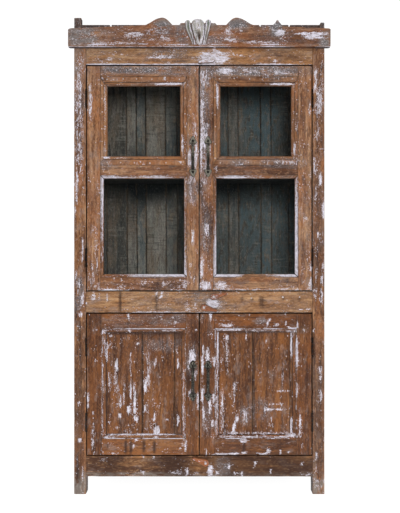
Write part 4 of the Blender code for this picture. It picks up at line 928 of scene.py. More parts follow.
# outer sides in the open are lighter; the inner sides, in the gaps, keep the full dirt and painted shade
OUTER_DIRT_AND_SHADE = {"left": (OPEN_SIDE, SIDE_DIRT_AND_SHADE), "right": (SIDE_DIRT_AND_SHADE, OPEN_SIDE)}
for seed, side in enumerate(("left", "right")):
    grime = OUTER_DIRT_AND_SHADE[side]
    node = f"{side}_front_post"
    low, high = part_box(node)
    post = Timber(10 + seed)
    top = (high.x, high.y, POST_TOP)
    post.board(low, top, "z", POST_WEATHER[side], fine=True, edge=POST_ROUND, tone=POST_TONE, grime=grime)
    stub_low, stub_high, stub_top = STUBS[side]
    post.board(
        (stub_low + STUB_EASE, FACE + STUB_EASE, POST_TOP - STUB_ROOT),
        (stub_high - STUB_EASE, FACE + STUB_DEPTH, stub_top),
        "z",
        STUB_WEATHER,
        tone=STUB_TONE,
    )
    show(node + "_timber", post, "carcass", "post_wood", node)
    node = f"{side}_back_post"
    low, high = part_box(node)
    post = Timber(12 + seed)
    post.board(low, high, "z", BACK_POST_WEATHER, edge=POST_ROUND, grime=grime)
    show(node + "_timber", post, "carcass", "post_wood", node)

# Front rails between the posts: weather, tone, and paint on the lower and the upper edge
INNER = CASE_HALF - POST_SIZE
RAILS = {
    # the bottom rail's low tone and heavy stain are stain and painted shade low on the front
    "bottom_rail": ((0.04, 0.0, 0.0, 0.50), 0.26, (0.2, 0.2)),
    "middle_rail": ((0.12, 0.10, 0.03, 0.12), 0.54, (0.45, 0.1)),
    "frieze_rail": ((0.16, 0.10, 0.04, 0.08), 0.54, (0.76, 0.0)),
}
for seed, (node, (weather, tone, trim)) in enumerate(RAILS.items()):
    low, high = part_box(node)
    rail = Timber(20 + seed)
    ends = ((-INNER, low.y, low.z), (INNER, high.y, high.z))
    rail.board(*ends, "x", weather, fine=True, tone=tone, trim=trim)
    show(node + "_timber", rail, "carcass", "rail_wood", node)

# Side panels of three upright boards
SIDE_BOARDS = (0.0, 0.118, 0.214)
SIDE_WEATHER = (0.16, 0.1, 0.06, 0.1)
PANEL_ROUND = 0.0040
for seed, side in enumerate(("left", "right")):
    node = f"{side}_side_panel"
    low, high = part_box(node)
    panel = Timber(30 + seed)
    grime = [min(INNER_SIDE, dirt) for dirt in OUTER_DIRT_AND_SHADE[side]]
    edges = [*(low.y + start for start in SIDE_BOARDS), high.y]
    for start, stop in zip(edges, edges[1:]):
        ends = ((low.x, start, low.z), (high.x, stop, high.z))
        panel.board(*ends, "z", SIDE_WEATHER, edge=PANEL_ROUND, grime=grime)
    show(node + "_timber", panel, "carcass", "side_wood", node)

# Back of upright boards that lean a little, with soot and painted shade under the shelf
BACK_LINES = (
    -0.408, -0.318, -0.275, -0.234, -0.146, -0.096, -0.008, 0.037, 0.130, 0.175, 0.274, 0.320, 0.396,
)
BACK_TONES = (0.34, 0.32, 0.74, 0.86, 0.74, 0.78, 0.40, 0.36, 0.24, 0.42, 0.22, 0.36, 0.22, 0.18)
BACK_GREYS = (0.2, 0.1, 0.1, 0.45, 0.05, 0.55, 0.4, 0.5, 0.65, 0.35, 0.75, 0.95, 0.8, 0.8)
BACK_SCUFF = 0.10
BACK_STAIN = 0.15
BACK_LEAN = 0.012
BACK_ROUND = 0.0050
# soot and painted shade under the shelf: strength, and reach down each board, longer on the left boards to
# paint the shade in the left corner
SHELF_SOOT_AND_SHADE = 0.95
SOOT_AND_SHADE_REACH = (0.26, 0.26, 0.25, 0.22, 0.17, 0.17, 0.16, 0.16, 0.16, 0.16, 0.17, 0.17, 0.18, 0.20)
low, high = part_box("back_boards")
under_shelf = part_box("upper_shelf")[0].z - low.z
back = Timber(40)
edges = (low.x, *BACK_LINES, high.x)
leans = (0.0, *(-BACK_LEAN for line in BACK_LINES), 0.0)
for number, tone in enumerate(BACK_TONES):
    back.board(
        (edges[number], low.y, low.z),
        (edges[number + 1], high.y, high.z),
        "z",
        (0.0, BACK_SCUFF, BACK_GREYS[number], BACK_STAIN),
        tone=tone,
        lean=leans[number : number + 2],
        edge=BACK_ROUND,
        soot=[(under_shelf, SOOT_AND_SHADE_REACH[number], SHELF_SOOT_AND_SHADE)],
    )
show("back_boards_timber", back, "carcass", "inside_wood", "back_boards")

# Floor board and shelves, housed between the posts
POST_NOTCH = 0.0463
FRONT_NOTCH = FACE + POST_NOTCH
REAR_NOTCH = REAR - POST_NOTCH
JOINT_SHIFT = 0.03
SHELF_JOINT = (FRONT_NOTCH + REAR_NOTCH) / 2 + JOINT_SHIFT
SHELF_HOUSED = 0.459
SHELF_NOTCHED = INNER - 0.0003
SHELF_HALVES = (SHELF_NOTCHED, SHELF_HOUSED, SHELF_HOUSED, SHELF_NOTCHED)
SHELF_WEATHER = (0.0, 0.15, 0.35, 0.2)
for seed, node in enumerate(("floor_board", "middle_shelf", "upper_shelf")):
    low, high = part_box(node)
    shelf = Timber(50 + seed)
    edges = (low.y, FRONT_NOTCH, SHELF_JOINT, REAR_NOTCH, high.y)
    for half, start, stop in zip(SHELF_HALVES, edges, edges[1:]):
        shelf.board((-half, start, low.z), (half, stop, high.z), "x", SHELF_WEATHER)
    show(node + "_timber", shelf, "carcass", "inside_wood", node)

# Top boards from front to back, a cross board at the rear
TOP_GAPS = (-0.340, 0.2335, 0.3456)
TOP_GAP = 0.003
TOP_EASE = 0.0006
TOP_REAR = REAR - 0.060
TOP_WEATHER = (0.10, 0.25, 0.35, 0.35)
low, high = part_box("top_boards")
top = Timber(60)
behind_stubs = FACE + STUB_DEPTH + TOP_EASE
starts = (STUBS["left"][1] + TOP_EASE, *(gap + TOP_GAP for gap in TOP_GAPS))
stops = (*(gap - TOP_GAP for gap in TOP_GAPS), STUBS["right"][0] - TOP_EASE)
boards = [(start, low.y, stop) for start, stop in zip(starts, stops)]
boards += [(low.x, behind_stubs, starts[0]), (stops[-1], behind_stubs, high.x)]
for start, front, stop in boards:
    top.board((start, front, low.z), (stop, TOP_REAR, high.z), "y", TOP_WEATHER)
top.board((low.x, TOP_REAR, low.z), (high.x, high.y, high.z), "x", TOP_WEATHER)
show("top_boards_timber", top, "carcass", "top_wood", "top_boards")

# Cornice: a board with a scalloped top edge and a rounded lower edge
CORNICE_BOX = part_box("cornice_front")
CORNICE_LOW = CORNICE_BOX[0].z
CORNICE_TOP = CORNICE_LOW + 0.070
CORNICE_FRONT = CORNICE_BOX[0].y
CORNICE_BACK = CORNICE_BOX[1].y
CORNICE_HALF = CORNICE_BOX[1].x
CORNICE_TONE = 0.48
CORNICE_SCUFF = 0.14
CORNICE_GREY = 0.06
CORNICE_STEPS = 220
CREST = 0.0125
CREST_WAVE = 0.0007
CREST_WAVES = 90
CREST_EASE = 0.003
CREST_NOTCHES = (
    # place, reach and depth
    (0.2335, 0.006, 0.0075), (-0.245, 0.010, 0.0020), (0.412, 0.020, 0.0030), (-0.418, 0.016, 0.0024),
)
HUMP = {"place": 0.141, "height": 0.0285, "outer": 0.067, "inner": 0.039, "swell": 0.72}
BROKEN = {"place": 0.298, "height": 0.027, "reach": 0.020, "slope": 0.8, "jag": 0.10, "jags": 420}
SHELL_PLACE = -0.005
SHELL_BACKING = 0.071
SHELL_RISE = 0.008
SHELL_SLOPE = 0.005
OVOLO_TOP = 0.0088
OVOLO_DEPTH = 0.0042
OVOLO_PAINT = (0.92, 0.80, 0.45, 0.25, 0.25, 0.55)
QUIRK = 0.0014
FASCIA_POINTS = 12
FASCIA_PAINT = 0.22
ENDS = (0.0, 0.0020, 0.0045, 0.0090)
END_BEND = 0.35
END_LIFT = 0.6
END_WEAR = 60
END_DEPTH = 0.012


def crest(x):
    """Height of the cornice's top edge."""
    away = abs(x)
    slope = min(1.0, (CORNICE_HALF - away) / (CORNICE_HALF - HUMP["place"] - HUMP["outer"]))
    height = CORNICE_TOP + CREST * slope
    past = away - HUMP["place"]
    reach = HUMP["outer"] if past > 0 else HUMP["inner"]
    if abs(past) < reach:
        share = abs(past) / reach
        swell = ((1 + math.cos(math.pi * share)) / 2) ** HUMP["swell"]
        height += HUMP["height"] * (swell if past > 0 else math.cos(math.pi / 2 * share))
    from_shell = abs(x - SHELL_PLACE)
    if from_shell < SHELL_BACKING:
        height += SHELL_RISE * min(1.0, (SHELL_BACKING - from_shell) / SHELL_SLOPE)
    past = abs(x - BROKEN["place"]) / BROKEN["reach"]
    if past < 1:
        jag = BROKEN["jag"] * noise.noise(Vector((x * BROKEN["jags"], 1.7, 0)))
        height += BROKEN["height"] * max(0.0, 1 - past ** BROKEN["slope"] + jag * (1 - past))
    for place, reach, depth in CREST_NOTCHES:
        height -= depth * max(0.0, 1 - abs(x - place) / reach)
    height += CREST_WAVE * noise.noise(Vector((x * CREST_WAVES, 4.1, 0)))
    return min(height, CORNICE_TOP + CREST + HUMP["height"])


def cornice_section(top):
    """Section from the back foot round the front: depth, height, wear, paint and soil of each point, with
    painted shade on the underside.
    """
    thickness = CORNICE_BACK - CORNICE_FRONT
    # the underside, beneath the cornice, is darkened fully: painted shade
    section = [(thickness, CORNICE_LOW, 0.0, 0.1, 1.0)]
    section.append((QUIRK + OVOLO_DEPTH + 0.0025, CORNICE_LOW, 0.0, 0.1, 1.0))
    for step, paint in enumerate(OVOLO_PAINT):
        turn = math.pi / 2 * step / (len(OVOLO_PAINT) - 1)
        depth = QUIRK + OVOLO_DEPTH * (1 - math.sin(turn))
        section.append((depth, CORNICE_LOW + (OVOLO_TOP - 0.002) * (1 - math.cos(turn)), 0.4, paint, 0.0))
    section.append((QUIRK, CORNICE_LOW + OVOLO_TOP - 0.0008, 0.3, 0.55, 0.4))
    section.append((0.0, CORNICE_LOW + OVOLO_TOP, 0.6, 0.62, 0.0))
    foot = CORNICE_LOW + OVOLO_TOP + 0.0018
    for step in range(FASCIA_POINTS):
        height = foot + (top - 0.004 - foot) * step / (FASCIA_POINTS - 1)
        section.append((0.0, height, 0.0, FASCIA_PAINT, 0.0))
    section.append((0.0010, top - 0.0012, 0.8, 0.25, 0.0))
    section.append((0.0034, top, 0.5, 0.2, 0.2))
    section.append((thickness - CREST_EASE, top, 0.4, 0.2, 0.4))
    section.append((thickness, top - CREST_EASE, 0.2, 0.1, 0.6))
    return section


cornice = Timber(70)
shift = cornice.shift()
span = 2 * (CORNICE_HALF - ENDS[-1])
places = [-CORNICE_HALF + end for end in ENDS]
places += [places[-1] + span * step / CORNICE_STEPS for step in range(1, CORNICE_STEPS)]
places += [CORNICE_HALF - end for end in reversed(ENDS)]
rings = []
for x in places:
    ring = []
    rounded = max(0.0, ENDS[-1] - (CORNICE_HALF - abs(x))) ** 2 / ENDS[-1] * END_BEND
    for depth, z, wear, paint, soil_and_shade in cornice_section(crest(x)):
        place = Vector((x, CORNICE_FRONT + depth, z))
        if depth < END_DEPTH:
            place.y = min(place.y + rounded, CORNICE_BACK)
        if z < CORNICE_LOW + OVOLO_TOP:
            place.z += rounded * END_LIFT
        if z > CORNICE_TOP - CREST_EASE:
            place.z -= rounded * END_LIFT
        grain = shift + Vector((z, depth, x))
        wear = min(1.0, wear + END_WEAR * rounded)
        weather = (paint, CORNICE_SCUFF, CORNICE_GREY, soil_and_shade)
        ring.append(cornice.point(place, grain, CORNICE_TONE, wear, weather, True))
    rings.append(ring)
cornice.skin(rings)
show("cornice_front_timber", cornice, "carcass", "cornice_wood", "cornice_front")

# Carved shell: two hollow petals beside a wide one, on the middle of the cornice
PETALS = (
    # centre column, row, half width and relief in millimetres up each petal, then how hollow it is
    (
        (
            (193.0, 44.3, 0.7, 3), (192.5, 42, 1.1, 5), (191.7, 38, 2.0, 7), (190.4, 34, 2.8, 9),
            (188.5, 28.5, 2.8, 11), (187.9, 24.8, 2.9, 12), (187.6, 22.7, 2.7, 12),
        ),
        0.66,
    ),
    (
        (
            (205.0, 43.8, 0.7, 3), (205.2, 41.5, 1.2, 5), (205.6, 38, 1.7, 7), (206.5, 34, 2.2, 9),
            (207.4, 29.5, 2.6, 11), (208.1, 25, 3.0, 12), (208.3, 22.1, 2.7, 12),
        ),
        0.66,
    ),
    (
        (
            (199.2, 44.8, 1.8, 4), (199.2, 42.8, 3.1, 6), (199.4, 38.4, 4.4, 8), (199.0, 34.3, 5.6, 10),
            (198.4, 28.5, 6.7, 11), (198.0, 25, 6.9, 11.5), (197.7, 21.6, 5.4, 11),
        ),
        0.30,
    ),
    (((194.8, 44.6, 0.6, 2), (194.6, 42.5, 0.8, 4), (194.3, 40.0, 0.7, 3)), 0.0),
    (((203.4, 44.6, 0.6, 2), (203.7, 42.5, 0.8, 4), (204.0, 40.0, 0.7, 3)), 0.0),
)
PETAL_SIDES = 13
PETAL_STEPS = 26
PETAL_TONE = 0.5
PETAL_BACK_TONE = 0.3
PETAL_PAINT = 0.7
PETAL_SCUFF = 0.16
PETAL_BACK = (0.2, 0.2, 0.2, 0.4)
PETAL_EDGE = 0.3
PETAL_LENGTH = 0.1
PETAL_EASE = 0.0002
PETAL_PLANTED = 0.0004
PETAL_STRETCH = 1.12
CROWN_BEND = 0.7
FOOT_WIDTH = 0.35
FOOT_SPREAD = 6
TIP_SHARE = 0.14
TIP_ROWS = 2.3
TIP_WIDTH = 0.04
TIP_RELIEF = 0.35
MILLIMETRE = 0.001


def along_petal(rows, share):
    """Centre, half width and relief at a share of the way up a petal, on a smooth curve."""
    place = share * (len(rows) - 1)
    number = min(int(place), len(rows) - 2)
    part = place - number
    before = rows[max(number - 1, 0)]
    after = rows[min(number + 2, len(rows) - 1)]
    values = []
    for a, b, c, d in zip(before, rows[number], rows[number + 1], after):
        values.append(
            b + 0.5 * part * (c - a + part * (2 * a - 5 * b + 4 * c - d + part * (3 * (b - c) + d - a)))
        )
    return values


def bell(distance, width):
    """One at no distance, falling away smoothly within about the width."""
    return math.exp(-((distance / width) ** 2))


def petal_groove(wide, hollow, across, share, tip):
    """How deep a petal is hollowed: a pit and two flutes in the wide one, one long hollow in the others."""
    if wide:
        pit = bell(across, 0.30) * max(0.0, 1 - (abs(share - 0.36) / 0.20) ** 2)
        return pit + 0.22 * bell(abs(across) - 0.55, 0.14) * (1 - tip)
    return hollow * bell(across, 0.42) * min(1.0, 4 * share) * (1 - 0.8 * tip)


def petal_weather(wide, groove, across, share):
    """Lime on the petal's back, green and brown dirt in its hollows and at its sides."""
    high_up = min(1.0, max(0.0, 4 * share - 1.4))
    green = min(1.0, 1.5 * groove) * (0.2 + 0.8 * high_up)
    brown = groove * (0.95 if wide else 0.8 - 0.6 * high_up)
    rim = 0.84 if wide else 0.70
    brown = max(brown, 0.95 * max(0.0, abs(across) - rim) / (1 - rim))
    paint = PETAL_PAINT * (1 - min(1.0, brown)) * (1 - 0.6 * green)
    return paint, PETAL_SCUFF, green, min(1.0, 1.1 * brown)


shell = Timber(80)
sides = [-1 + 2 * number / (PETAL_SIDES - 1) for number in range(PETAL_SIDES)]
for rows, hollow in PETALS:
    wide = 0 < hollow < 0.5
    shift = shell.shift()
    rings = []
    for step in range(PETAL_STEPS + 1):
        share = step / PETAL_STEPS
        column, row, half, relief = along_petal(rows, min(1.0, share * PETAL_STRETCH))
        tip = max(0.0, (share - (1 - TIP_SHARE)) / TIP_SHARE)
        close = TIP_WIDTH + (1 - TIP_WIDTH) * math.sqrt(max(0.0, 1 - tip * tip))
        foot = min(1.0, FOOT_WIDTH + FOOT_SPREAD * share)
        row -= TIP_ROWS * tip if len(rows) > 3 else 0.0
        x, z = picture(column, row, FACE - CORNICE_FRONT)
        half = half * PIXEL * close * foot
        relief = relief * MILLIMETRE * (TIP_RELIEF + (1 - TIP_RELIEF) * close) * foot
        ring = []
        for across in sides:
            crown = math.sqrt(max(0.0, 1 - across * across))
            groove = petal_groove(wide, hollow, across, share, tip)
            lift = relief * crown**CROWN_BEND * (1 - groove)
            place = Vector((x + across * half, CORNICE_FRONT - PETAL_EASE - lift, z))
            grain = shift + Vector((across * half, lift, share * PETAL_LENGTH))
            weather = petal_weather(wide, groove, across, share)
            ring.append(shell.point(place, grain, PETAL_TONE, PETAL_EDGE * crown, weather, False))
        for across in reversed(sides[1:-1]):
            place = Vector((x + across * half, CORNICE_FRONT + PETAL_PLANTED, z))
            ring.append(shell.point(place, shift, PETAL_BACK_TONE, 0.0, PETAL_BACK, False))
        rings.append(ring)
    shell.skin(rings)
show("carved_shell_carving", shell, "carcass", "limed_carving", "carved_shell")

# Profiles of the doors' mouldings: inset, depth, paint and soil; the soil is dirt with painted shade in the
# quirks, at the inner edges and on the sides in the gaps
DOOR_BACK = 0.026
MOULDING_FACE = -0.0021
NAILED_MOULDING = [
    (0.0, 0.0122, 0.1, 0.6), (0.0, -0.0004, 0.2, 0.6), (0.0012, -0.0018, 0.25, 0.0),
    (0.0036, MOULDING_FACE, 0.1, 0.0), (0.0065, MOULDING_FACE, 0.1, 0.0), (0.0100, MOULDING_FACE, 0.1, 0.0),
    (0.0118, -0.0018, 0.12, 0.3), (0.0128, 0.0012, 0.1, 1.0), (0.0138, -0.0012, 0.12, 0.4),
    *(
        (0.0142 + 0.0106 * math.sin(turn), -0.0016 + 0.0086 * (1 - math.cos(turn)), 0.12, 0.0)
        for turn in (0.25, 0.6, 0.95, 1.3)
    ),
    (0.0252, 0.0072, 0.15, 0.2), (0.0260, 0.0084, 0.15, 0.5), (0.0260, 0.0122, 0.0, 1.0),
]
PANE_LIP = [
    (0.0, 0.0128, 0.1, 0.5), (0.0080, 0.0128, 0.1, 0.5), (0.0080, DOOR_BACK - 0.0010, 0.1, 0.5),
    (0.0072, DOOR_BACK - 0.0002, 0.2, 0.2), (0.0, DOOR_BACK - 0.0002, 0.1, 0.2),
]
PANE_BEAD = [
    (0.0, DOOR_BACK - 0.0003, 0.1, 0.3), (0.0, 0.0040, 0.3, 0.8), (0.0007, 0.0022, 0.74, 0.0),
    (0.0024, 0.0018, 0.70, 0.0), (0.0033, 0.0034, 0.30, 0.6), (0.0042, 0.0026, 0.70, 0.0),
    (0.0064, 0.0042, 0.80, 0.0), (0.0086, 0.0068, 0.84, 0.0), (0.0104, 0.0098, 0.72, 0.0),
    (0.0110, 0.0112, 0.5, 0.3), (0.0110, DOOR_BACK - 0.0012, 0.1, 0.9),
    (0.0100, DOOR_BACK - 0.0003, 0.1, 0.4),
]
# its inner edge is darkened fully: a painted shadow line where the panel meets the moulding
PANEL_MOULDING = [
    (0.0, DOOR_BACK - 0.0003, 0.1, 0.3), (0.0, 0.0014, 0.3, 0.8), (0.0008, 0.0, 0.70, 0.0),
    (0.0028, 0.0, 0.66, 0.0), (0.0036, 0.0024, 0.2, 0.9), (0.0044, 0.0012, 0.22, 0.1),
    (0.0066, 0.0022, 0.2, 0.0), (0.0092, 0.0038, 0.2, 0.0), (0.0116, 0.0054, 0.2, 0.1),
    (0.0132, 0.0064, 0.3, 0.1), (0.0138, 0.0072, 0.1, 1.0), (0.0176, 0.0099, 0.0, 1.0),
    (0.0176, DOOR_BACK - 0.0012, 0.1, 0.8), (0.0150, DOOR_BACK - 0.0003, 0.1, 0.3),
]
END_EXTRA = 0.009
END_SPLIT = 0.002


def bevelled(points, end_extra=0.0, split=0.0):
    """A profile for mitred strips, with the strips at the ends wider past the split."""
    profile = []
    for inset, depth, paint, soil_and_shade in points:
        end_inset = inset + end_extra if inset > split else inset
        profile.append((inset, end_inset, depth, paint, soil_and_shade))
    return profile


# Door frames
FOOT_EASE = 0.0014
HEAD_EASE = 0.0022
JOINT_ROUND = 0.0020
JOINT_LAP = 0.0004
RAIL_EASE = 0.0002
RAIL_TONES = {
    ("left", "lower", 0): 0.66,
    ("right", "lower", 0): 0.46,
    ("left", "upper", 2): 0.56,
    ("right", "upper", 2): 0.36,
}
DOOR_WEATHER = {
    "left_upper": (0.11, 0.06, 0.02, 0.07),
    "right_upper": (0.11, 0.08, 0.02, 0.10),
    "left_lower": (0.08, 0.04, 0.0, 0.14),
    "right_lower": (0.07, 0.04, 0.0, 0.14),
}


def door_boards(timber, side, sign, tier):
    """Stiles and rails of one door; returns the sides and the ends of what they leave open."""
    low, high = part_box(f"{side}_{tier}_door_frame")
    weather = DOOR_WEATHER[f"{side}_{tier}"]
    hinge = HINGE_STILE[tier]
    meeting = MEETING_STILE[f"{side}_{tier}"]
    left, right = (hinge, meeting) if sign < 0 else (meeting, hinge)
    open_x = (low.x + left, high.x - right)
    open_z = (low.z + BOTTOM_RAIL[tier], high.z - TOP_RAIL[tier])
    foot, head = low.z + FOOT_EASE, high.z - HEAD_EASE
    for start, stop in ((low.x, open_x[0]), (open_x[1], high.x)):
        ends = ((start, low.y, foot), (stop, high.y, head))
        timber.board(*ends, "z", weather, fine=True, edge=JOINT_ROUND)
    rails = [(foot, open_z[0]), (open_z[1], head)]
    if tier == "upper":
        rails.append((open_z[0] + LOWER_PANE_HEIGHT, open_z[0] + LOWER_PANE_HEIGHT + MIDDLE_RAIL))
    for number, (foot, head) in enumerate(rails):
        tone = RAIL_TONES.get((side, tier, number))
        rail_low = (open_x[0] - JOINT_LAP, low.y + RAIL_EASE, foot)
        rail_high = (open_x[1] + JOINT_LAP, high.y - RAIL_EASE, head)
        timber.board(rail_low, rail_high, "x", weather, fine=True, tone=tone)
    return open_x, open_z


# Nails: share of the radius and height of each ring of a head, spacing along a moulding, and its unevenness
NAIL_RINGS = ((1.0, -0.0005), (1.0, 0.0002), (0.84, 0.0009), (0.5, 0.0014), (0.18, 0.0016))
NAIL_SIDES = 10
NAIL_RADIUS = 0.0026
NAIL_SPACING = 0.057
NAIL_STRAY = 0.006
NAIL_SIZES = (0.75, 1.1)


def nail(form, place, radius):
    """A domed nail head on a face towards the front."""
    rings = []
    for share, height in NAIL_RINGS:
        ring = []
        for step in range(NAIL_SIDES):
            turn = 2 * math.pi * step / NAIL_SIDES
            x = place.x + radius * share * math.cos(turn)
            z = place.z + radius * share * math.sin(turn)
            ring.append(form.point(Vector((x, place.y - height, z))))
        rings.append(ring)
    form.skin(rings)


def nail_row(form, shake, ends, line, drift, upright):
    """Nails between two ends, near a line, by a hand that wasn't exact."""
    start, stop = ends
    count = round((stop - start) / NAIL_SPACING)
    for number in range(count):
        along = start + (stop - start) * (number + 0.5) / count + shake.uniform(-NAIL_STRAY, NAIL_STRAY)
        aside = line + shake.uniform(-drift, drift)
        x, z = (aside, along) if upright else (along, aside)
        nail(form, Vector((x, FACE + MOULDING_FACE, z)), NAIL_RADIUS * shake.uniform(*NAIL_SIZES))


# Glazed doors
MOULDING_EASE = 0.0003
NAIL_INSET = {"ends": 0.0095, "sides": 0.0065}
NAIL_DRIFT = {"ends": 0.002, "sides": 0.001}
for seed, (side, sign) in enumerate((("left", -1), ("right", 1))):
    door = f"{side}_upper_door"
    timber = Timber(90 + seed)
    open_x, open_z = door_boards(timber, side, sign, "upper")
    low_pane = (open_z[0], open_z[0] + LOWER_PANE_HEIGHT)
    top_pane = (low_pane[1] + MIDDLE_RAIL, open_z[1])
    weather = DOOR_WEATHER[f"{side}_upper"]
    timber.mitred((open_x[0], low_pane[0]), (open_x[1], low_pane[1]), bevelled(PANE_BEAD), weather)
    timber.mitred((open_x[0], top_pane[0]), (open_x[1], top_pane[1]), bevelled(PANE_LIP), weather, False)
    show(door + "_frame_timber", timber, door, "upper_door_wood", door + "_frame")
    moulding = Timber(94 + seed)
    corner_low = (open_x[0] + MOULDING_EASE, top_pane[0] + MOULDING_EASE)
    corner_high = (open_x[1] - MOULDING_EASE, top_pane[1] - MOULDING_EASE)
    moulding.mitred(corner_low, corner_high, bevelled(NAILED_MOULDING, END_EXTRA, END_SPLIT), weather)
    show(door + "_moulding_timber", moulding, door, "moulding_wood", door + "_moulding")
    nails = Form()
    shake = random.Random(98 + seed)
    for line in (top_pane[0] + NAIL_INSET["ends"], top_pane[1] - NAIL_INSET["ends"]):
        nail_row(nails, shake, open_x, line, NAIL_DRIFT["ends"], False)
    for line in (open_x[0] + NAIL_INSET["sides"], open_x[1] - NAIL_INSET["sides"]):
        nail_row(nails, shake, top_pane, line, NAIL_DRIFT["sides"], True)
    show(door + "_moulding_nails", nails, door, "screw_iron")

# Panelled doors; one board of each panel is split once more
PANEL_WEATHER = (0.09, 0.04, 0.0, 0.14)
NARROW_BOARD = 0.06
NARROW_TONE = 0.38
for seed, (side, sign) in enumerate((("left", -1), ("right", 1))):
    door = f"{side}_lower_door"
    timber = Timber(110 + seed)
    open_x, open_z = door_boards(timber, side, sign, "lower")
    weather = DOOR_WEATHER[f"{side}_lower"]
    timber.mitred((open_x[0], open_z[0]), (open_x[1], open_z[1]), bevelled(PANEL_MOULDING), weather)
    show(door + "_frame_timber", timber, door, "lower_door_wood", door + "_frame")
    cut = PANEL_LINE[side]
    for number, node in enumerate((door + "_meeting_board", door + "_hinge_board")):
        low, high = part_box(node)
        board = Timber(114 + 2 * seed + number)
        edges = (low.x, cut, high.x) if low.x < cut < high.x else (low.x, high.x)
        for start, stop in zip(edges, edges[1:]):
            tone = NARROW_TONE if stop - start < NARROW_BOARD else None
            ends = ((start, low.y, low.z), (stop, high.y, high.z))
            board.board(*ends, "z", PANEL_WEATHER, fine=True, tone=tone, edge=PANEL_ROUND)
        show(node + "_timber", board, door, "lower_panel_wood", node)

# Iron pulls: two lobed rosettes with hollow middles, and a bowed bar with collars; their pale skin is rubbed
# iron with a painted highlight
HANDLE_SPACING = 0.119
ROSETTE = 0.0160
ROSETTE_POINTS = 48
ROSETTE_RINGS = (
    # share of the outline, height and paleness, which is rubbed iron and painted highlight on the raised ring
    (1.0, 0.0, 0.0), (1.0, 0.0012, 0.0), (0.95, 0.0020, 0.2), (0.85, 0.0026, 0.6), (0.73, 0.0032, 1.0),
    (0.60, 0.0037, 1.0), (0.49, 0.0036, 0.9), (0.40, 0.0028, 0.2), (0.30, 0.0012, 0.0), (0.10, 0.0009, 0.0),
)
LOBE = 0.16
LOBE_STRETCH = 1.2
HOLE_EDGE = 0.5
HOLE_SIZE = 0.7
BAR_SIDES = 12
BAR_STEPS = 40
BAR_FOOT = HANDLE_SPACING / 2 - 0.0135
BAR_ROOT = 0.002
BAR_REACH = 0.0285 - BAR_ROOT
BAR_BOW = 0.7
BAR_STEEPEST = 0.02
BAR_RADIUS = 0.0043
BAR_SWELL = 0.0012
BAR_RINGS = (
    # place along the bar, width and height of each swelling: the middle ring, the collars and the feet
    (0.5, 0.022, 0.0010), (0.16, 0.02, 0.0014), (0.84, 0.02, 0.0014),
    (0.0, 0.08, 0.0027), (1.0, 0.08, 0.0027),
)
# strength, place along the bar and width of the painted highlight on the bar
BAR_HIGHLIGHT = 0.7
HIGHLIGHT_PLACE = 0.32
HIGHLIGHT_WIDTH = 0.19


def rosette_outline(up):
    """A three-lobed outline with its longest lobe up or down."""
    points = []
    for step in range(ROSETTE_POINTS):
        turn = 2 * math.pi * step / ROSETTE_POINTS
        radius = ROSETTE * (1 - LOBE + LOBE * math.cos(3 * (turn - up * math.pi / 2)))
        stretch = LOBE_STRETCH if up * math.sin(turn) > 0 else 1.0
        points.append((radius * math.cos(turn), radius * math.sin(turn) * stretch))
    return points


def bar_radius(share):
    """Thickness of the bar: a swell in the middle, and rings on it."""
    radius = BAR_RADIUS + BAR_SWELL * math.sin(math.pi * share) ** 2
    for place, width, height in BAR_RINGS:
        radius += height * bell(share - place, width)
    return radius


def pull(name, body, paleness):
    low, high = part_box(name)
    centre = Vector(((low.x + high.x) / 2, high.y, (low.z + high.z) / 2))
    form = Casting()
    for up in (1, -1):
        outline = rosette_outline(up)
        rings = []
        for share, lift, pale in ROSETTE_RINGS:
            ring = []
            for x, z in outline:
                size = share
                if share < HOLE_EDGE:
                    size *= HOLE_SIZE * ROSETTE / math.hypot(x, z)
                place = Vector((x * size, -lift, z * size + up * HANDLE_SPACING / 2))
                ring.append(form.point(centre + place, pale * paleness))
            rings.append(ring)
        form.skin(rings)
    rings = []
    for step in range(BAR_STEPS + 1):
        share = step / BAR_STEPS
        turn = math.pi * share
        middle = Vector((0, -BAR_ROOT - BAR_REACH * math.sin(turn) ** BAR_BOW, BAR_FOOT * math.cos(turn)))
        slope = -BAR_REACH * BAR_BOW * math.cos(turn) * max(math.sin(turn), BAR_STEEPEST) ** (BAR_BOW - 1)
        tangent = Vector((0, slope, -BAR_FOOT * math.sin(turn))).normalized()
        outward = Vector((0, -tangent.z, tangent.y))
        # a painted highlight along the upper part of the bar
        pale = BAR_HIGHLIGHT * paleness * bell(share - HIGHLIGHT_PLACE, HIGHLIGHT_WIDTH)
        ring = []
        for side in range(BAR_SIDES):
            angle = 2 * math.pi * side / BAR_SIDES
            offset = Vector((1, 0, 0)) * math.cos(angle) + outward * math.sin(angle)
            ring.append(form.point(centre + middle + offset * bar_radius(share), pale))
        rings.append(ring)
    form.skin(rings)
    show(name + "_casting", form, body, "handle_iron", name)


for side in ("left", "right"):
    # the upper pulls carry more of the pale skin and painted highlight than the lower ones
    for tier, paleness in (("upper", 0.85), ("lower", 0.35)):
        pull(f"{side}_{tier}_door_handle", f"{side}_{tier}_door", paleness)

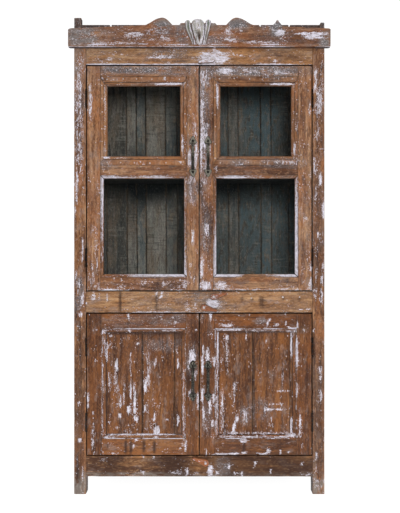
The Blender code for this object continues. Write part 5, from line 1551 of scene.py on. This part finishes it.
# Turn buttons: teardrops with rounded faces, each turned clear of the doors
BUTTONS = {
    # place across, height, turn from hanging down, slot and weather
    "frieze": (0.047, 1.6685, 76, "painted_button", (0.72, 0.15, 0.0, 0.2)),
    "middle_up": (0.055, 0.7595, -104, "button_wood", (0.30, 0.1, 0.0, 0.2)),
    "middle_down": (0.018, 0.7177, -76, "button_wood", (0.12, 0.05, 0.0, 0.1)),
    "bottom": (0.024, 0.122, 110, "button_wood", (0.42, 0.1, 0.0, 0.2)),
}
BUTTON_HEAD = 0.013
BUTTON_TIP = 0.0045
BUTTON_REACH = 0.053
BUTTON_TONE = 0.52
BUTTON_RIM = (0.05, 0.1, 0.0, 0.6)
BUTTON_RINGS = (
    # inset, height and wear
    (0.0008, 0.0004, 0.4), (0.0, 0.0014, 0.0), (0.0, 0.0082, 0.0),
    (0.0006, 0.0098, 0.3), (0.0018, 0.0109, 0.9), (0.0036, 0.0113, 0.2),
)
RIM_WIDTH = 0.001
HEAD_STEPS = 18
TIP_STEPS = 9
LEAST_TIP = 0.0006


def teardrop(inset):
    """Outline of a button with its tail down, drawn in by the inset."""
    reach = BUTTON_REACH - BUTTON_TIP
    lean = math.asin((BUTTON_HEAD - BUTTON_TIP) / reach)
    points = []
    for step in range(HEAD_STEPS + 1):
        turn = -lean + (math.pi + 2 * lean) * step / HEAD_STEPS
        points.append(((BUTTON_HEAD - inset) * math.cos(turn), (BUTTON_HEAD - inset) * math.sin(turn)))
    tip = max(BUTTON_TIP - inset, LEAST_TIP)
    for step in range(TIP_STEPS + 1):
        turn = math.pi + lean + (math.pi - 2 * lean) * step / TIP_STEPS
        points.append((tip * math.cos(turn), -reach + tip * math.sin(turn)))
    return points


for seed, (name, (across, height, turn, slot, weather)) in enumerate(BUTTONS.items()):
    timber = Timber(130 + seed)
    shift = timber.shift()
    spin = Matrix.Rotation(math.radians(turn), 3, "Y")
    rings = []
    for inset, lift, wear in BUTTON_RINGS:
        own = BUTTON_RIM if inset < RIM_WIDTH else weather
        ring = []
        for x, z in teardrop(inset):
            place = Vector((across, FACE - lift, height)) + spin @ Vector((x, 0, z))
            ring.append(timber.point(place, shift + Vector((x, lift, z)), BUTTON_TONE, wear, own, False))
        rings.append(ring)
    timber.skin(rings)
    show(f"{name}_turn_button_timber", timber, f"{name}_button", slot, f"{name}_turn_button")

# Nails left in the middle rail and the bottom rail: column, row and size
RAIL_NAILS = ((282.8, 297.2, 1.35), (299.6, 297.0, 1.2), (251.4, 298.2, 1.25), (255.4, 464, 0.8))
nails = Form()
for column, row, size in RAIL_NAILS:
    x, z = picture(column, row)
    nail(nails, Vector((x, FACE, z)), NAIL_RADIUS * size)
show("rail_nails", nails, "carcass", "screw_iron")

# Solids that keep their shape: glass, hinge leaves and the buttons' screws
for name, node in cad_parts.items():
    for word, slot in (("glass", "window_glass"), ("leaf", "hinge_iron"), ("screw", "screw_iron")):
        if name.endswith(word):
            node.data.materials.clear()
            node.data.materials.append(MATERIALS[slot])

# Studio floor
FLOOR_REACH = 1.7
FLOOR_LOOKS = {
    "Base Color": (0.2, 0.2, 0.2, 1),
    "Roughness": 1.0,
    "Specular IOR Level": 0.0,
    "Emission Color": (1, 1, 1, 1),
    "Emission Strength": 0.95,
}
floor_mesh = bpy.data.meshes.new("studio_floor")
corners = [(-FLOOR_REACH, -FLOOR_REACH, 0), (FLOOR_REACH, -FLOOR_REACH, 0)]
corners += [(FLOOR_REACH, FLOOR_REACH, 0), (-FLOOR_REACH, FLOOR_REACH, 0)]
floor_mesh.from_pydata(corners, [], [(0, 1, 2, 3)])
floor = bpy.data.objects.new("studio_floor", floor_mesh)
bpy.context.scene.collection.objects.link(floor)
floor_material = bpy.data.materials.new("studio_floor")
floor_material.use_nodes = True
floor_shader = floor_material.node_tree.nodes["Principled BSDF"].inputs
for label, value in FLOOR_LOOKS.items():
    floor_shader[label].default_value = value
floor_mesh.materials.append(floor_material)

# Sky: brighter upwards, faint in reflections, white where the camera sees it
SKY_FOOT = 0.14
SKY_RISE = 0.46
SKY_LEVELS = (-0.35, 0.75)
MIRRORED_SKY = 0.05
SEEN_SKY = 1.05
world = bpy.data.worlds.new("studio")
bpy.context.scene.world = world
world.use_nodes = True
wiring = Wiring(world.node_tree)
path = wiring.node("ShaderNodeLightPath").outputs
rise = wiring.split(wiring.node("ShaderNodeTexCoord").outputs["Generated"])[2]
sky = wiring.line(wiring.ramp(rise, *SKY_LEVELS), SKY_RISE, SKY_FOOT)
mirrored = wiring.math("MINIMUM", path["Glossy Depth"], 1.0)
direct = wiring.rest(wiring.math("MAXIMUM", mirrored, path["Is Transmission Ray"]))
strength = wiring.line(direct, sky, wiring.times(mirrored, MIRRORED_SKY))
unscattered = wiring.rest(wiring.math("MINIMUM", path["Diffuse Depth"], 1.0))
unscattered = wiring.times(unscattered, wiring.rest(mirrored))
through_glass = wiring.times(path["Is Transmission Ray"], unscattered)
seen = wiring.math("MAXIMUM", path["Is Camera Ray"], through_glass)
strength = wiring.math("MAXIMUM", strength, wiring.times(seen, SEEN_SKY))
background = world.node_tree.nodes["Background"].inputs
background["Color"].default_value = (1, 1, 1, 1)
wiring.feed(background["Strength"], strength)

# Lamps that only light the cabinet: place, power and size
LAMPS = {
    "high_lamp": ((-0.4, FACE - 2.3, 2.6), 11, 1.6),
    "low_lamp": ((0.3, FACE - 2.7, 1.46), 42, 0.8),
    "left_lamp": ((-3.0, 0.35, 1.7), 24, 1.8),
    "right_lamp": ((3.0, 0.35, 1.7), 24, 1.8),
    "rear_lamp": ((0.4, 3.0, 1.8), 24, 1.8),
}
LAMP_AIM = Vector((0, FACE, 1.0))
for name, (place, power, size) in LAMPS.items():
    lamp_data = bpy.data.lights.new(name, "AREA")
    lamp_data.energy = power
    lamp_data.size = size
    lamp = bpy.data.objects.new(name, lamp_data)
    bpy.context.scene.collection.objects.link(lamp)
    lamp.visible_camera = False
    lamp.visible_glossy = False
    lamp.visible_transmission = False
    lamp.location = place
    lamp.rotation_euler = (LAMP_AIM - lamp.location).to_track_quat("-Z", "Y").to_euler()

# Camera: level, ahead of the doors, so that the picture's columns and rows fall where they should
camera_data = bpy.data.cameras.new("camera")
camera_data.sensor_width = SENSOR
camera_data.lens = SENSOR * CAMERA_DISTANCE / (PICTURE_ROWS * PIXEL)
camera = bpy.data.objects.new("camera", camera_data)
bpy.context.scene.collection.objects.link(camera)
camera.location = (EYE_X, FACE - CAMERA_DISTANCE, EYE_Z)
camera.rotation_euler = (math.pi / 2, 0, 0)
bpy.context.scene.camera = camera
bpy.context.scene.view_settings.view_transform = "Standard"
